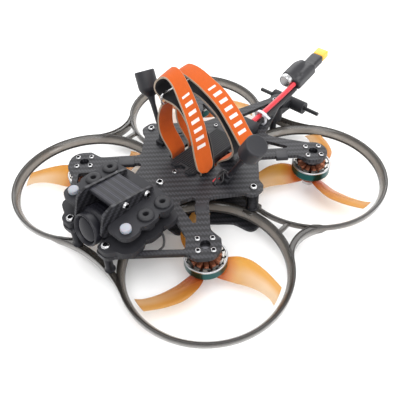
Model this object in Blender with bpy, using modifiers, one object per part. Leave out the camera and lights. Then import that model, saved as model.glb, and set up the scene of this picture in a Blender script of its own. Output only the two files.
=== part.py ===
"""Ducted racing drone with four pusher rotors, modelled at real size.

Frame: metres, +Z up, the nose points to -Y and the drone's left is +X.
The origin is the middle of the lower plate's underside, midway between the motors.
Lengths below are in millimetres and are turned into metres where objects are made.
"""
import math

import bmesh
import bpy
from mathutils import Matrix, Vector

MM = 0.001
GAP = 0.3                      # clearance between touching pieces

# Driving dimensions
MOTOR_X = 52.5                 # motor centres from the middle, each way
MOTOR_Y = 52.5
BORE_R = 46.5                  # inside of a guard ring
RIM_R = 50.85                  # outer lip of a guard ring
RING_LOW = 8.8
RING_TOP = 14.8
PROP_R = 44.45                 # 3.5 inch propeller
PROP_Z = 11.3                  # middle of the propeller hub
PLATE_LOW = 29.5               # main carbon plate
PLATE_TOP = 32.0
BASE_TOP = 2.0                 # lower carbon plate
BELL_R = 12.6
BELL_LOW = 15.0
BELL_TOP = 22.8
BAND_W = 3.8                   # width of the bands that join the rings
FRONT_BAND_Y = -92.5
REAR_BAND_Y = 89.2
SIDE_BAND_X = 82.0
EAR_X = 44.6
FRONT_POST = (14.5, -91.3)
REAR_POST_Y = 82.3
DECK_LOW = (PLATE_TOP + GAP, 36.0)
DECK_HIGH = (42.3, 45.2)
DAMPER_X = 22.2
DAMPER_Y = (-54.0, -66.7)
PIN_Y = -81.0
CAGE_X = 10.2                  # inner face of a camera side plate
CAGE_T = 1.6
CAMERA_PIVOT = (0.0, -76.5, 40.2)
CAMERA_TILT = math.radians(15)
CAMERA_DROP = -5.8             # the lens axis below the pivot
CAMERA_R = 9.3
STRAP_T = 1.5
STRAP_FRONT = (-12.5, -0.5)   # front and rear edges, along Y
STRAP_REAR = (3.4, 15.4)

CORNERS = {
    "front_left": (1, -1),
    "front_right": (-1, -1),
    "rear_left": (1, 1),
    "rear_right": (-1, 1),
}
# The angle of one blade tip, and the way the rotor turns seen from above
ROTORS = {
    "front_left": (16.0, 1),
    "front_right": (-148.0, -1),
    "rear_left": (0.0, -1),
    "rear_right": (50.0, 1),
}

COLOURS = {
    "carbon": ((0.050, 0.052, 0.058), 0.45, 0.0),
    "smoke_guard": ((0.24, 0.21, 0.18), 0.25, 0.0),
    "black_tpu": ((0.035, 0.035, 0.040), 0.60, 0.0),
    "black_metal": ((0.045, 0.045, 0.050), 0.40, 0.8),
    "rubber": ((0.030, 0.030, 0.033), 0.80, 0.0),
    "pin_white": ((0.72, 0.73, 0.76), 0.45, 0.0),
    "lens_black": ((0.020, 0.020, 0.025), 0.15, 0.0),
    "circuit": ((0.030, 0.045, 0.060), 0.50, 0.0),
    "copper": ((0.40, 0.14, 0.06), 0.40, 0.6),
    "bell_teal": ((0.020, 0.130, 0.120), 0.30, 0.8),
    "prop_amber": ((0.80, 0.36, 0.05), 0.20, 0.0),
    "steel": ((0.70, 0.70, 0.72), 0.25, 1.0),
    "connector_yellow": ((0.85, 0.60, 0.08), 0.40, 0.0),
    "heat_shrink": ((0.040, 0.040, 0.045), 0.55, 0.0),
    "wire_red": ((0.70, 0.05, 0.06), 0.40, 0.0),
    "wire_black": ((0.025, 0.025, 0.028), 0.45, 0.0),
    "tie_white": ((0.80, 0.80, 0.82), 0.45, 0.0),
    "strap_orange": ((0.85, 0.25, 0.04), 0.75, 0.0),
}


# ---------------------------------------------------------------- scene tools

def clear_scene():
    for old in list(bpy.data.objects):
        bpy.data.objects.remove(old, do_unlink=True)


def new_collection(name):
    group = bpy.data.collections.new(name)
    bpy.context.scene.collection.children.link(group)
    return group


def make_material(name):
    colour, roughness, metallic = COLOURS[name]
    material = bpy.data.materials.new(name)
    material.use_nodes = True
    shader = material.node_tree.nodes["Principled BSDF"]
    shader.inputs["Base Color"].default_value = (*colour, 1.0)
    shader.inputs["Roughness"].default_value = roughness
    shader.inputs["Metallic"].default_value = metallic
    material.diffuse_color = (*colour, 1.0)
    return material


clear_scene()
DRONE = new_collection("fpv_racing_drone")
CUTTERS = new_collection("cutters")
MATERIALS = {name: make_material(name) for name in COLOURS}


def place(obj, material, group=None):
    """Link a new object into its collection, with its material."""
    (group or DRONE).objects.link(obj)
    obj.data.materials.append(MATERIALS[material])
    return obj


def mesh_object(name, bm, material, group=None):
    mesh = bpy.data.meshes.new(name)
    bm.to_mesh(mesh)
    bm.free()
    return place(bpy.data.objects.new(name, mesh), material, group)


def centimetre_free(points):
    """Millimetre points as metres."""
    return [tuple(value * MM for value in point) for point in points]


# ------------------------------------------------------------------- outlines

def arc(centre, radius, start, end, steps):
    """Points on an arc, angles in degrees."""
    points = []
    for index in range(steps + 1):
        angle = math.radians(start + (end - start) * index / steps)
        points.append((centre[0] + radius * math.cos(angle), centre[1] + radius * math.sin(angle)))
    return points


def circle(centre, radius, steps=24):
    return arc(centre, radius, 0, 360, steps)[:-1]


def rounded(corners, step=22.0):
    """A closed outline from (x, y, fillet radius) corners, the fillets as arcs."""
    outline = []
    count = len(corners)
    for index in range(count):
        x, y, radius = corners[index]
        here = Vector((x, y))
        back = (Vector(corners[index - 1][:2]) - here).normalized()
        ahead = (Vector(corners[(index + 1) % count][:2]) - here).normalized()
        half = back.angle(ahead) / 2
        if radius <= 0 or half > math.radians(88):
            outline.append((x, y))
            continue
        reach = radius / math.tan(half)
        centre = here + (back + ahead).normalized() * (radius / math.sin(half))
        start = (here + back * reach) - centre
        end = (here + ahead * reach) - centre
        turn = math.atan2(start.cross(end), start.dot(end))
        steps = max(2, round(abs(math.degrees(turn)) / step))
        for number in range(steps + 1):
            spoke = Matrix.Rotation(turn * number / steps, 2) @ start
            outline.append(tuple(centre + spoke))
    return outline


def mirrored(half):
    """Close a half outline, drawn on the +X side from front to rear, across X = 0."""
    other = [(-x, *rest) for x, *rest in reversed(half) if abs(x) > 1e-6]
    return half + other


def flip(corners):
    return [(-x, *rest) for x, *rest in corners]


def fore_aft(corners):
    return [(x, -y, *rest) for x, y, *rest in corners]


def plate(name, outline, holes, low, high, material):
    """A flat sheet with holes, standing between two heights."""
    curve = bpy.data.curves.new(name, "CURVE")
    curve.dimensions = "2D"
    curve.fill_mode = "BOTH"
    curve.extrude = (high - low) / 2 * MM
    for loop in [outline, *holes]:
        spline = curve.splines.new("POLY")
        spline.points.add(len(loop) - 1)
        for point, (x, y) in zip(spline.points, loop):
            point.co = (x * MM, y * MM, 0.0, 1.0)
        spline.use_cyclic_u = True
    obj = place(bpy.data.objects.new(name, curve), material)
    obj.location = (0.0, 0.0, (low + high) / 2 * MM)
    return obj


def side_plate(name, outline, x_low, x_high, material):
    """A sheet whose outline is drawn in Y and Z, between two X values."""
    obj = plate(name, outline, [], x_low, x_high, material)
    obj.location = ((x_low + x_high) / 2 * MM, 0.0, 0.0)
    obj.rotation_euler = (math.radians(90), 0.0, math.radians(90))
    return obj


# --------------------------------------------------------------------- solids

def turned(name, profile, centre, material, steps=24, closed=False, group=None):
    """A Screw of an (r, z) profile that runs down its outer side."""
    mesh = bpy.data.meshes.new(name)
    points = [(radius * MM, 0.0, height * MM) for radius, height in profile]
    edges = [(index, index + 1) for index in range(len(points) - 1)]
    if closed:
        edges.append((len(points) - 1, 0))
    mesh.from_pydata(points, edges, [])
    obj = place(bpy.data.objects.new(name, mesh), material, group)
    screw = obj.modifiers.new("turn", "SCREW")
    screw.steps = steps
    screw.render_steps = steps
    screw.use_merge_vertices = True
    screw.merge_threshold = 0.00001
    obj.location = (centre[0] * MM, centre[1] * MM, (centre[2] if len(centre) > 2 else 0.0) * MM)
    return obj


def block(name, low, high, material, bevel=0.0, group=None):
    """A box between two corners, with its edges rounded."""
    bm = bmesh.new()
    bmesh.ops.create_cube(bm, size=1.0)
    size = Vector(high) - Vector(low)
    middle = (Vector(high) + Vector(low)) / 2
    bmesh.ops.scale(bm, vec=size * MM, verts=bm.verts)
    bmesh.ops.translate(bm, vec=middle * MM, verts=bm.verts)
    obj = mesh_object(name, bm, material, group)
    if bevel:
        rounding = obj.modifiers.new("rounding", "BEVEL")
        rounding.width = bevel * MM
        rounding.segments = 2
        rounding.limit_method = "ANGLE"
    return obj


def tube(name, points, radius, material):
    """A wire along points, on a poly line with filled ends."""
    curve = bpy.data.curves.new(name, "CURVE")
    curve.dimensions = "3D"
    curve.bevel_depth = radius * MM
    curve.bevel_resolution = 2
    curve.use_fill_caps = True
    spline = curve.splines.new("POLY")
    spline.points.add(len(points) - 1)
    for point, place_at in zip(spline.points, points):
        point.co = (*(value * MM for value in place_at), 1.0)
    return place(bpy.data.objects.new(name, curve), material)


def smooth_route(route, count):
    """Even points on a Catmull-Rom curve through a hand-chosen route."""
    ends = [2 * Vector(route[0]) - Vector(route[1]), 2 * Vector(route[-1]) - Vector(route[-2])]
    knots = [ends[0], *map(Vector, route), ends[1]]
    dense = []
    for index in range(1, len(knots) - 2):
        a, b, c, d = knots[index - 1:index + 3]
        for step in range(24):
            t = step / 24
            dense.append(0.5 * (
                2 * b + (c - a) * t + (2 * a - 5 * b + 4 * c - d) * t ** 2
                + (3 * b - a - 3 * c + d) * t ** 3
            ))
    dense.append(Vector(route[-1]))
    lengths = [0.0]
    for index in range(1, len(dense)):
        lengths.append(lengths[-1] + (dense[index] - dense[index - 1]).length)
    result = []
    for number in range(count):
        target = lengths[-1] * number / (count - 1)
        index = max(1, next(i for i, value in enumerate(lengths) if value >= target - 1e-9))
        span = lengths[index] - lengths[index - 1]
        t = (target - lengths[index - 1]) / span if span else 0.0
        result.append(tuple(dense[index - 1].lerp(dense[index], t)))
    return result


def boolean(obj, cutter, operation):
    cutter.hide_render = True
    cutter.display_type = "WIRE"
    modifier = obj.modifiers.new(operation.lower(), "BOOLEAN")
    modifier.operation = operation
    modifier.object = cutter
    modifier.solver = "EXACT"


# ------------------------------------------------------------ carbon plates

def arm_side(sign):
    """The +X side outline of one end of an arm, from the wing to the motor pad.

    Drawn for the front left arm; the corners run from the brace round the motor to the wing.
    """
    return [
        (65.2, -52.5, 8.6),
        (56.2, -43.4, 2.0),
        (47.6, -42.6, 5.0),
        (29.6, -24.0, 3.0),
        (43.0, -7.6, 4.0),
        (49.6, -5.2, 4.8),
    ]


def main_plate():
    """One carbon sheet: nose deck, four forked arms, side ears and a tapered tail."""
    front = [
        (10.3, -70.0, 1.5),
        (10.3, -95.4, 2.5),
        (19.8, -95.4, 4.4),
        (21.4, -91.2, 2.0),
        (53.8, -61.4, 0.0),
        (52.5, -65.2, 8.6),
    ]
    rear = [(x, -y, radius) for x, y, radius in reversed(arm_side(1))]
    tail = [
        (52.5, 65.2, 8.6),
        (45.0, 57.4, 3.0),
        (24.2, 47.4, 3.0),
        (17.4, 46.6, 3.0),
        (5.4, 81.0, 4.0),
        (5.4, 91.8, 5.0),
    ]
    half = [*front, *arm_side(1), *rear, *tail]
    half[4:6] = [(50.0, -63.6, 3.0), (54.0, -66.0, 6.5)]
    arm_hole = [(23.0, -28.4, 2.0), (40.6, -46.8, 1.2), (18.8, -39.4, 2.0)]
    nose_hole = [(21.4, -48.0, 2.5), (40.2, -55.2, 2.5), (46.6, -62.2, 1.6), (21.4, -85.6, 2.0)]
    tail_hole = [(-9.0, 47.4, 2.0), (9.0, 47.4, 2.0), (1.6, 76.0, 1.0), (-1.6, 76.0, 1.0)]
    slot = [(10.6, -13.2, 1.0), (14.8, -13.2, 1.0), (14.8, 16.2, 1.0), (10.6, 16.2, 1.0)]
    holes = [rounded(tail_hole)]
    for shape in (arm_hole, nose_hole, slot):
        holes.append(rounded(shape))
        holes.append(rounded(flip(shape)))
    for shape in (fore_aft(arm_hole), flip(fore_aft(arm_hole))):
        holes.append(rounded(shape))
    for side, end in CORNERS.values():
        holes.append(circle((side * MOTOR_X, end * MOTOR_Y), 3.0, 16))
    plate("main_plate", rounded(mirrored(half)), holes, PLATE_LOW, PLATE_TOP, "carbon")


def base_plate():
    """The lower carbon sheet, with a tongue under each ear and one to the rear post."""
    half = [
        (17.0, -40.0, 4.0),
        (22.0, -22.0, 8.0),
        (37.0, -8.6, 8.0),
        (51.0, -7.0, 5.0),
        (51.0, 7.0, 5.0),
        (37.0, 8.6, 8.0),
        (22.0, 22.0, 8.0),
        (17.0, 38.0, 8.0),
        (5.0, 52.0, 8.0),
        (4.6, 87.0, 4.4),
    ]
    holes = []
    for side in (1, -1):
        holes.append(rounded([(side * x, y, 2.0) for x, y in ((9, 26), (15, 26), (13, 34), (9, 34))]))
        holes.append(rounded([(side * x, y, 2.0) for x, y in ((9, -34), (13, -34), (15, -26), (9, -26))]))
    plate("base_plate", rounded(mirrored(half)), holes, 0.0, BASE_TOP, "carbon")


# -------------------------------------------------------------------- guards

def guard_ring(corner):
    """A hooked bell-mouth ring: an inner wall, a flare and an outer lip."""
    side, end = CORNERS[corner]
    profile = [
        (RIM_R, RING_TOP),
        (RIM_R, 10.8),
        (RIM_R - 1.1, 10.8),
        (RIM_R - 1.2, 13.0),
        (BORE_R + 1.2, 10.6),
        (BORE_R + 1.2, RING_LOW),
        (BORE_R, RING_LOW),
        (BORE_R, 11.0),
        (RIM_R - 1.6, RING_TOP),
    ]
    turned(
        f"guard_ring_{corner}", profile, (side * MOTOR_X, end * MOTOR_Y), "smoke_guard", 48, closed=True
    )


def band_outline(apex, across):
    """A concave band between two rings, in a frame where it bows towards -Y.

    apex is its outer edge's distance from the middle; across is the rings' half spacing
    along the band, and their spacing towards the middle is the same 52.5 mm.
    """
    ring = Vector((across, -MOTOR_Y))
    rim = RIM_R + GAP
    depth = apex - MOTOR_Y
    radius = (across ** 2 + depth ** 2 - rim ** 2) / (2 * (rim - depth))
    centre = Vector((0.0, -(apex + radius)))
    towards = (centre - ring).normalized()
    tangent = math.degrees(math.atan2(-(towards.y), -(towards.x)))
    outer = arc(centre, radius, 180 - tangent, tangent, 14)
    wide = radius + BAND_W
    span = (ring - centre).length
    lean = math.acos((span ** 2 + wide ** 2 - rim ** 2) / (2 * span * wide))
    inner_angle = math.degrees(math.atan2((ring - centre).y, (ring - centre).x) + lean)
    inner = arc(centre, wide, inner_angle, 180 - inner_angle, 14)
    start = Vector(outer[-1]) - ring
    end = Vector(inner[0]) - ring
    first = math.degrees(math.atan2(start.y, start.x))
    last = math.degrees(math.atan2(end.y, end.x))
    hug = arc(ring, rim, first, last, 5)
    other = [(-x, y) for x, y in reversed(hug)]
    return [*outer[:-1], *hug[:-1], *inner[:-1], *other[:-1]]


def guard_bands():
    """The four bands that join neighbouring rings round the outside."""
    front = band_outline(-FRONT_BAND_Y, MOTOR_X)
    rear = [(x, -y) for x, y in band_outline(REAR_BAND_Y, MOTOR_X)]
    side = band_outline(SIDE_BAND_X, MOTOR_Y)
    left = [(-y, x) for x, y in side]
    right = [(y, x) for x, y in side]
    for name, outline in (("front", front), ("rear", rear), ("left", left), ("right", right)):
        plate(f"guard_band_{name}", outline, [], RING_LOW, RING_TOP, "smoke_guard")


# --------------------------------------------------------------------- posts

def stepped_post(name, centre, wide, low, high):
    """A spacer post whose screw runs on down to the lower plate."""
    profile = [
        (0.0, high), (wide, high), (wide, low + 1.5), (wide + 0.6, low), (1.5, low),
        (1.5, BASE_TOP + GAP), (0.0, BASE_TOP + GAP),
    ]
    turned(name, profile, centre, "black_metal", 16)


def posts():
    for name, side in (("left", 1), ("right", -1)):
        stepped_post(f"side_post_{name}", (side * EAR_X, 0.0), 3.6, RING_TOP + GAP, PLATE_LOW - GAP)
        centre = (side * FRONT_POST[0], FRONT_POST[1])
        profile = [
            (0.0, PLATE_LOW - GAP), (2.3, PLATE_LOW - GAP), (2.3, 17.5), (3.2, RING_TOP + GAP),
            (0.0, RING_TOP + GAP),
        ]
        turned(f"front_post_{name}", profile, centre, "black_metal", 16)
    profile = [(0.0, PLATE_LOW - GAP), (2.5, PLATE_LOW - GAP), (2.5, BASE_TOP + GAP), (0.0, BASE_TOP + GAP)]
    turned("rear_post", profile, (0.0, REAR_POST_Y), "black_metal", 16)


# ----------------------------------------------------------------- camera cage

def camera_decks():
    """Two lobed decks, open in front for the camera, with the dampers between them."""
    half = [
        (11.2, -69.5, 1.0),
        (11.6, -94.9, 2.0),
        (19.3, -94.9, 3.8),
        (22.4, -90.0, 2.0),
        (30.2, -87.6, 6.0),
        (30.2, -75.6, 5.0),
        (27.4, -74.0, 1.0),
        (30.2, -72.4, 4.5),
        (30.2, -61.6, 4.5),
        (27.4, -60.4, 1.0),
        (30.2, -59.0, 5.0),
        (30.2, -48.4, 5.0),
        (17.0, -47.2, 3.0),
        (12.0, -43.6, 2.0),
    ]
    lobes = [(x - 1.9, y, radius) for x, y, radius in half[5:12]]
    high = [(12.05, -67.5, 1.0), (12.05, -86.8, 3.0), (28.3, -87.0, 6.0), *lobes, (10.0, -47.4, 2.0)]
    holes = []
    for side in (1, -1):
        for y in DAMPER_Y:
            holes.append(circle((side * DAMPER_X, y), 2.7, 12))
    plate("lower_camera_deck", rounded(mirrored(half)), [], *DECK_LOW, "black_tpu")
    plate("upper_camera_deck", rounded(mirrored(high)), holes, *DECK_HIGH, "black_tpu")


def dampers():
    """Rubber bobbins through the upper deck, and two pale safety pins in front of them."""
    low = DECK_LOW[1] + GAP
    bobbin = [
        (0.0, DECK_HIGH[1] + 0.2), (1.3, DECK_HIGH[1] + 1.2), (4.2, DECK_HIGH[1] + 1.2),
        (4.4, DECK_HIGH[1] + GAP), (2.4, DECK_HIGH[1] + GAP), (2.4, DECK_HIGH[0] - GAP),
        (4.6, DECK_HIGH[0] - 1.8), (4.6, low + 1.5), (3.4, low), (0.0, low),
    ]
    pin = [
        (0.0, DECK_HIGH[1] + 2.6), (2.8, DECK_HIGH[1] + 2.6), (3.1, DECK_HIGH[1] + 2.2),
        (3.1, DECK_HIGH[1] + GAP), (0.0, DECK_HIGH[1] + GAP),
    ]
    for name, side in (("left", 1), ("right", -1)):
        for place_name, y in zip(("rear", "front"), DAMPER_Y):
            turned(f"damper_{place_name}_{name}", bobbin, (side * DAMPER_X, y), "rubber", 14)
        turned(f"damper_pin_{name}", pin, (side * DAMPER_X, PIN_Y), "pin_white", 16)


def camera_cage():
    """Carbon side plates and the cover that ties their tops together."""
    outline = rounded([
        (-86.0, 53.0, 2.0),
        (-90.4, 40.0, 2.0),
        (-87.0, 36.3, 2.0),
        (-68.2, 36.3, 1.0),
        (-68.2, 45.5, 0.6),
        (-50.6, 45.5, 1.2),
        (-50.6, 49.4, 2.4),
        (-60.0, 51.6, 2.0),
        (-80.0, 55.0, 2.0),
    ])
    side_plate("camera_side_plate_left", outline, CAGE_X, CAGE_X + CAGE_T, "carbon")
    side_plate("camera_side_plate_right", outline, -CAGE_X - CAGE_T, -CAGE_X, "carbon")
    cover = rounded([(-78.6, 53.4, 0.8), (-78.6, 51.2, 0.3), (-56.6, 47.9, 0.3), (-56.6, 50.3, 0.8)])
    side_plate("camera_cage_cover", cover, -CAGE_X + GAP, CAGE_X - GAP, "black_tpu")


def camera():
    """The camera body and its round hood, hung on one tilted pivot between the side plates."""
    pivot = bpy.data.objects.new("camera_pivot", None)
    DRONE.objects.link(pivot)
    pivot.location = Vector(CAMERA_PIVOT) * MM
    pivot.rotation_euler = (-CAMERA_TILT, 0.0, 0.0)
    half = CAGE_X - 0.7
    body = block(
        "camera_body", (-half, -10.4, CAMERA_DROP - CAMERA_R), (half, 4.2, CAMERA_DROP + CAMERA_R),
        "black_tpu", 1.4,
    )
    hood = turned(
        "camera_lens",
        [(0.0, -0.2), (5.0, -1.0), (8.4, -1.9), (8.7, 0.0), (9.3, 0.0), (9.7, -0.8), (9.7, -4.8), (0.0, -4.8)],
        (0.0, -15.5, CAMERA_DROP), "lens_black", 24,
    )
    hood.rotation_euler = (math.radians(90), 0.0, 0.0)
    body.parent = pivot
    hood.parent = pivot


# --------------------------------------------------------------- electronics

def electronics():
    """The boards between the plates, and the battery's grip pad, notched at the nose end."""
    block("video_transmitter", (-16.0, -17.0, 3.4), (16.0, 17.0, 13.0), "black_metal", 1.0)
    block("flight_controller", (-18.5, -18.5, 17.6), (18.5, 18.5, 21.4), "circuit", 0.5)
    block("receiver_board", (-6.0, 28.0, PLATE_LOW - 5.0), (6.0, 44.0, PLATE_LOW - 2.0), "circuit", 0.3)
    pad = [(1.6, -14.8, 1.2), (4.4, -18.4, 1.2), (7.6, -18.4, 1.2), (10.2, -15.0, 2.0), (10.2, 30.0, 3.0)]
    plate("battery_pad", rounded(mirrored(pad)), [], PLATE_TOP + GAP, PLATE_TOP + 2.0, "rubber")


# ------------------------------------------------------------------- motors

def motor(corner):
    """A fixed stator under the arm and an open bell with its shaft below it."""
    side, end = CORNERS[corner]
    centre = (side * MOTOR_X, end * MOTOR_Y)
    stator = [
        (0.0, PLATE_LOW - 0.2), (7.8, PLATE_LOW - 0.2), (8.2, 26.6), (4.4, 26.0), (4.4, 24.4),
        (10.4, 24.0), (10.6, 18.6), (4.4, 18.0), (4.4, 16.6), (2.9, 16.6), (2.9, 27.0), (0.0, 27.0),
    ]
    turned(f"stator_{corner}", stator, centre, "copper", 24)
    bell = [
        (0.0, 26.6), (2.4, 26.6), (2.4, 16.2), (10.9, 16.2), (10.9, BELL_TOP), (BELL_R, BELL_TOP),
        (BELL_R, BELL_LOW + 1.0), (BELL_R - 1.0, BELL_LOW), (7.0, 14.4), (2.4, 14.4), (2.4, 3.4),
        (0.0, 3.4),
    ]
    turned(f"bell_{corner}", bell, centre, "bell_teal", 24)


# ---------------------------------------------------------------- propellers

# Radius, leading edge and trailing edge angles from the tip's middle, in degrees
BLADE_STATIONS = (
    (4.4, 52.0, -26.0), (10.0, 50.0, -12.0), (15.0, 45.5, -5.5), (21.0, 38.5, -2.0),
    (27.0, 30.5, -1.0), (32.0, 22.5, -1.5), (37.0, 15.5, -3.0), (41.0, 10.5, -5.0),
    (PROP_R, 7.0, -8.0),
)
BLADE_PITCH = 60.0             # advance in one turn
BLADE_LIFT = 1.0               # how far the middle of a blade stands above the hub's middle
BLADE_DROOP = 1.8              # how far the tip hangs below it
HUB_R = 5.6
HUB_HALF = 2.8


def blade_section(radius, lead, trail, angle, turn):
    """Ring of points round one aerofoil section, on a cylinder of this radius."""
    chord_points = ((0.0, 0.0), (0.22, 0.42), (0.55, 0.45), (1.0, 0.0), (0.55, -0.35), (0.22, -0.4))
    thick = 1.7 - 0.9 * radius / PROP_R
    middle = (lead + trail) / 2
    reach = radius / PROP_R
    level = PROP_Z + BLADE_LIFT * min(1.0, 2 * reach) - BLADE_DROOP * reach ** 3
    ring = []
    for along, across in chord_points:
        offset = lead + (trail - lead) * along
        theta = math.radians(angle + turn * offset)
        rise = radius * math.radians(offset - middle) * BLADE_PITCH / (2 * math.pi * max(radius, 20.0))
        height = level + rise + across * thick
        ring.append((radius * math.cos(theta), radius * math.sin(theta), height))
    return ring


def blade(name, centre, angle, turn):
    """One swept blade, lofted through its sections."""
    bm = bmesh.new()
    rings = []
    for radius, lead, trail in BLADE_STATIONS:
        section = blade_section(radius, lead, trail, angle, turn)
        rings.append([
            bm.verts.new(((centre[0] + x) * MM, (centre[1] + y) * MM, z * MM)) for x, y, z in section
        ])
    for inner, outer in zip(rings, rings[1:]):
        for index in range(len(inner)):
            following = (index + 1) % len(inner)
            bm.faces.new((inner[index], inner[following], outer[following], outer[index]))
    bm.faces.new(rings[0])
    bm.faces.new(rings[-1])
    bmesh.ops.recalc_face_normals(bm, faces=bm.faces)
    return mesh_object(name, bm, "prop_amber", CUTTERS)


def propeller(corner):
    """A drilled hub with three blades fused to it."""
    side, end = CORNERS[corner]
    centre = (side * MOTOR_X, end * MOTOR_Y)
    angle, turn = ROTORS[corner]
    high = PROP_Z + HUB_HALF
    low = PROP_Z - HUB_HALF
    profile = [
        (HUB_R, high), (HUB_R, low + 1.0), (HUB_R - 1.0, low), (2.6, low), (2.6, high),
    ]
    hub = turned(f"propeller_{corner}", profile, centre, "prop_amber", 20, closed=True)
    for number in range(3):
        piece = blade(f"blade_{corner}_{number}", centre, angle + 120.0 * number, turn)
        boolean(hub, piece, "UNION")


# ------------------------------------------------------------------ antennas

ANTENNA_FOOT = (27.8, -5.0, 33.6)
ANTENNA_LENGTH = 46.6
# The way each bendable stem leans
ANTENNA_LEAN = {"left": (23.5, -3.6, 40.4), "right": (-23.0, 9.3, 39.9)}


def video_antenna(side_name, side):
    """A stem with a drum-shaped cap, leaning outwards."""
    top = ANTENNA_LENGTH
    profile = [
        (0.0, top), (6.2, top), (6.8, top - 0.8), (6.8, top - 12.0), (5.2, top - 15.0),
        (2.3, top - 16.0), (1.6, top - 20.0), (1.6, 0.0), (0.0, 0.0),
    ]
    foot = (side * ANTENNA_FOOT[0], ANTENNA_FOOT[1], ANTENNA_FOOT[2])
    obj = turned(f"video_antenna_{side_name}", profile, foot, "black_tpu", 18)
    obj.rotation_euler = Vector(ANTENNA_LEAN[side_name]).to_track_quat("Z", "Y").to_euler()


TEE_Y = 101.0
TEE_Z = 21.5
TEE_HALF = 26.0


def rear_antenna():
    """The control link's T antenna: a thin rod across the tail, held in the tail mount."""
    points = [(x, TEE_Y, TEE_Z) for x in (-TEE_HALF, -13.0, 0.0, 13.0, TEE_HALF)]
    tube("rc_antenna", points, 1.5, "wire_black")


def tail_mount():
    """A flexible block on the rear post: a sleeve for the T antenna and a cradle above it."""
    clearance = 1.8
    body = turned(
        "tail_mount",
        [(4.6, 14.0), (4.6, -14.0), (clearance, -14.0), (clearance, 14.0)],
        (0.0, TEE_Y, TEE_Z), "black_tpu", 20, closed=True,
    )
    body.rotation_euler = (0.0, math.radians(90), 0.0)
    web = block("tail_web", (-4.0, REAR_POST_Y + 3.0, 19.0), (4.0, TEE_Y - 3.2, 27.0), "black_tpu", 0.0, CUTTERS)
    collar = turned(
        "tail_collar",
        [(6.0, 27.8), (6.0, 17.0), (3.0, 17.0), (3.0, 27.8)],
        (0.0, REAR_POST_Y), "black_tpu", 20, closed=True, group=CUTTERS,
    )
    boolean(body, web, "UNION")
    boolean(body, collar, "UNION")


# -------------------------------------------------------------- battery lead

LEAD_RISE = math.radians(12.7)
LEAD_ROUTE_RED = (
    (7.4, 46.0, 37.2), (7.2, 60.0, 38.2), (6.8, 70.0, 38.9), (6.4, 80.0, 39.8),
    (6.2, 88.0, 40.8), (6.2, 95.3, 42.1),
)
LEAD_ROUTE_BLACK = (
    (9.6, 46.0, 34.2), (9.0, 60.0, 34.8), (8.6, 70.0, 35.6), (8.0, 80.0, 36.4),
    (7.8, 88.0, 37.4), (7.6, 95.3, 38.7),
)
LEAD_R = 1.7
LEAD_POINTS = 13
CAN_X = -4.0                   # the capacitor beside and above the wires
CAN_UP = 2.4


def along_lead(distance, up=0.0):
    """A point on the connector's own axis, measured from the end of the wires."""
    y = 95.8 + distance * math.cos(LEAD_RISE) - up * math.sin(LEAD_RISE)
    z = 41.4 + distance * math.sin(LEAD_RISE) + up * math.cos(LEAD_RISE)
    return (4.0, y, z)


def tilted(obj, distance, up=0.0, x=0.0):
    where = along_lead(distance, up)
    obj.location = ((where[0] + x) * MM, where[1] * MM, where[2] * MM)
    obj.rotation_euler = (LEAD_RISE, 0.0, 0.0)
    return obj


def battery_lead():
    """Two wires in a clamp, a capacitor, a shrunk sleeve and the battery connector."""
    tube("lead_red", smooth_route(LEAD_ROUTE_RED, LEAD_POINTS), LEAD_R, "wire_red")
    tube("lead_black", smooth_route(LEAD_ROUTE_BLACK, LEAD_POINTS), LEAD_R, "wire_black")
    boot = tilted(block("connector_boot", (-3.2, 0.0, -4.4), (6.2, 22.0, 4.0), "heat_shrink", 1.6), 0.0)
    neck = block("boot_neck", (-4.8, 20.0, -3.2), (4.8, 33.0, 3.2), "heat_shrink", 0.8, CUTTERS)
    sleeve = turned(
        "boot_sleeve", [(0.0, 20.0), (3.4, 19.0), (5.4, 13.0), (5.4, 0.0), (0.0, 0.0)],
        (0.0, 0.0), "heat_shrink", 18, group=CUTTERS,
    )
    tilted(neck, 0.0)
    tilted(sleeve, 0.0, CAN_UP, CAN_X)
    sleeve.rotation_euler = (LEAD_RISE - math.radians(90), 0.0, 0.0)
    boolean(boot, neck, "UNION")
    boolean(boot, sleeve, "UNION")
    tilted(block("battery_connector", (-4.4, 33.3, -2.7), (4.4, 40.6, 2.7), "connector_yellow", 0.8), 0.0)
    can = turned(
        "capacitor", [(0.0, -GAP), (4.8, -GAP), (4.8, -3.0), (4.4, -3.5), (0.0, -3.5)],
        (0.0, 0.0), "steel", 18,
    )
    tilted(can, 0.0, CAN_UP, CAN_X)
    can.rotation_euler = (LEAD_RISE - math.radians(90), 0.0, 0.0)


def lead_clamp():
    """The block on the plate that the wires pass through, and the tie round it."""
    block("lead_clamp", (0.6, 36.0, PLATE_TOP + GAP), (13.6, 45.6, 39.6), "black_tpu", 1.2)


# --------------------------------------------------------------------- straps

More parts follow.
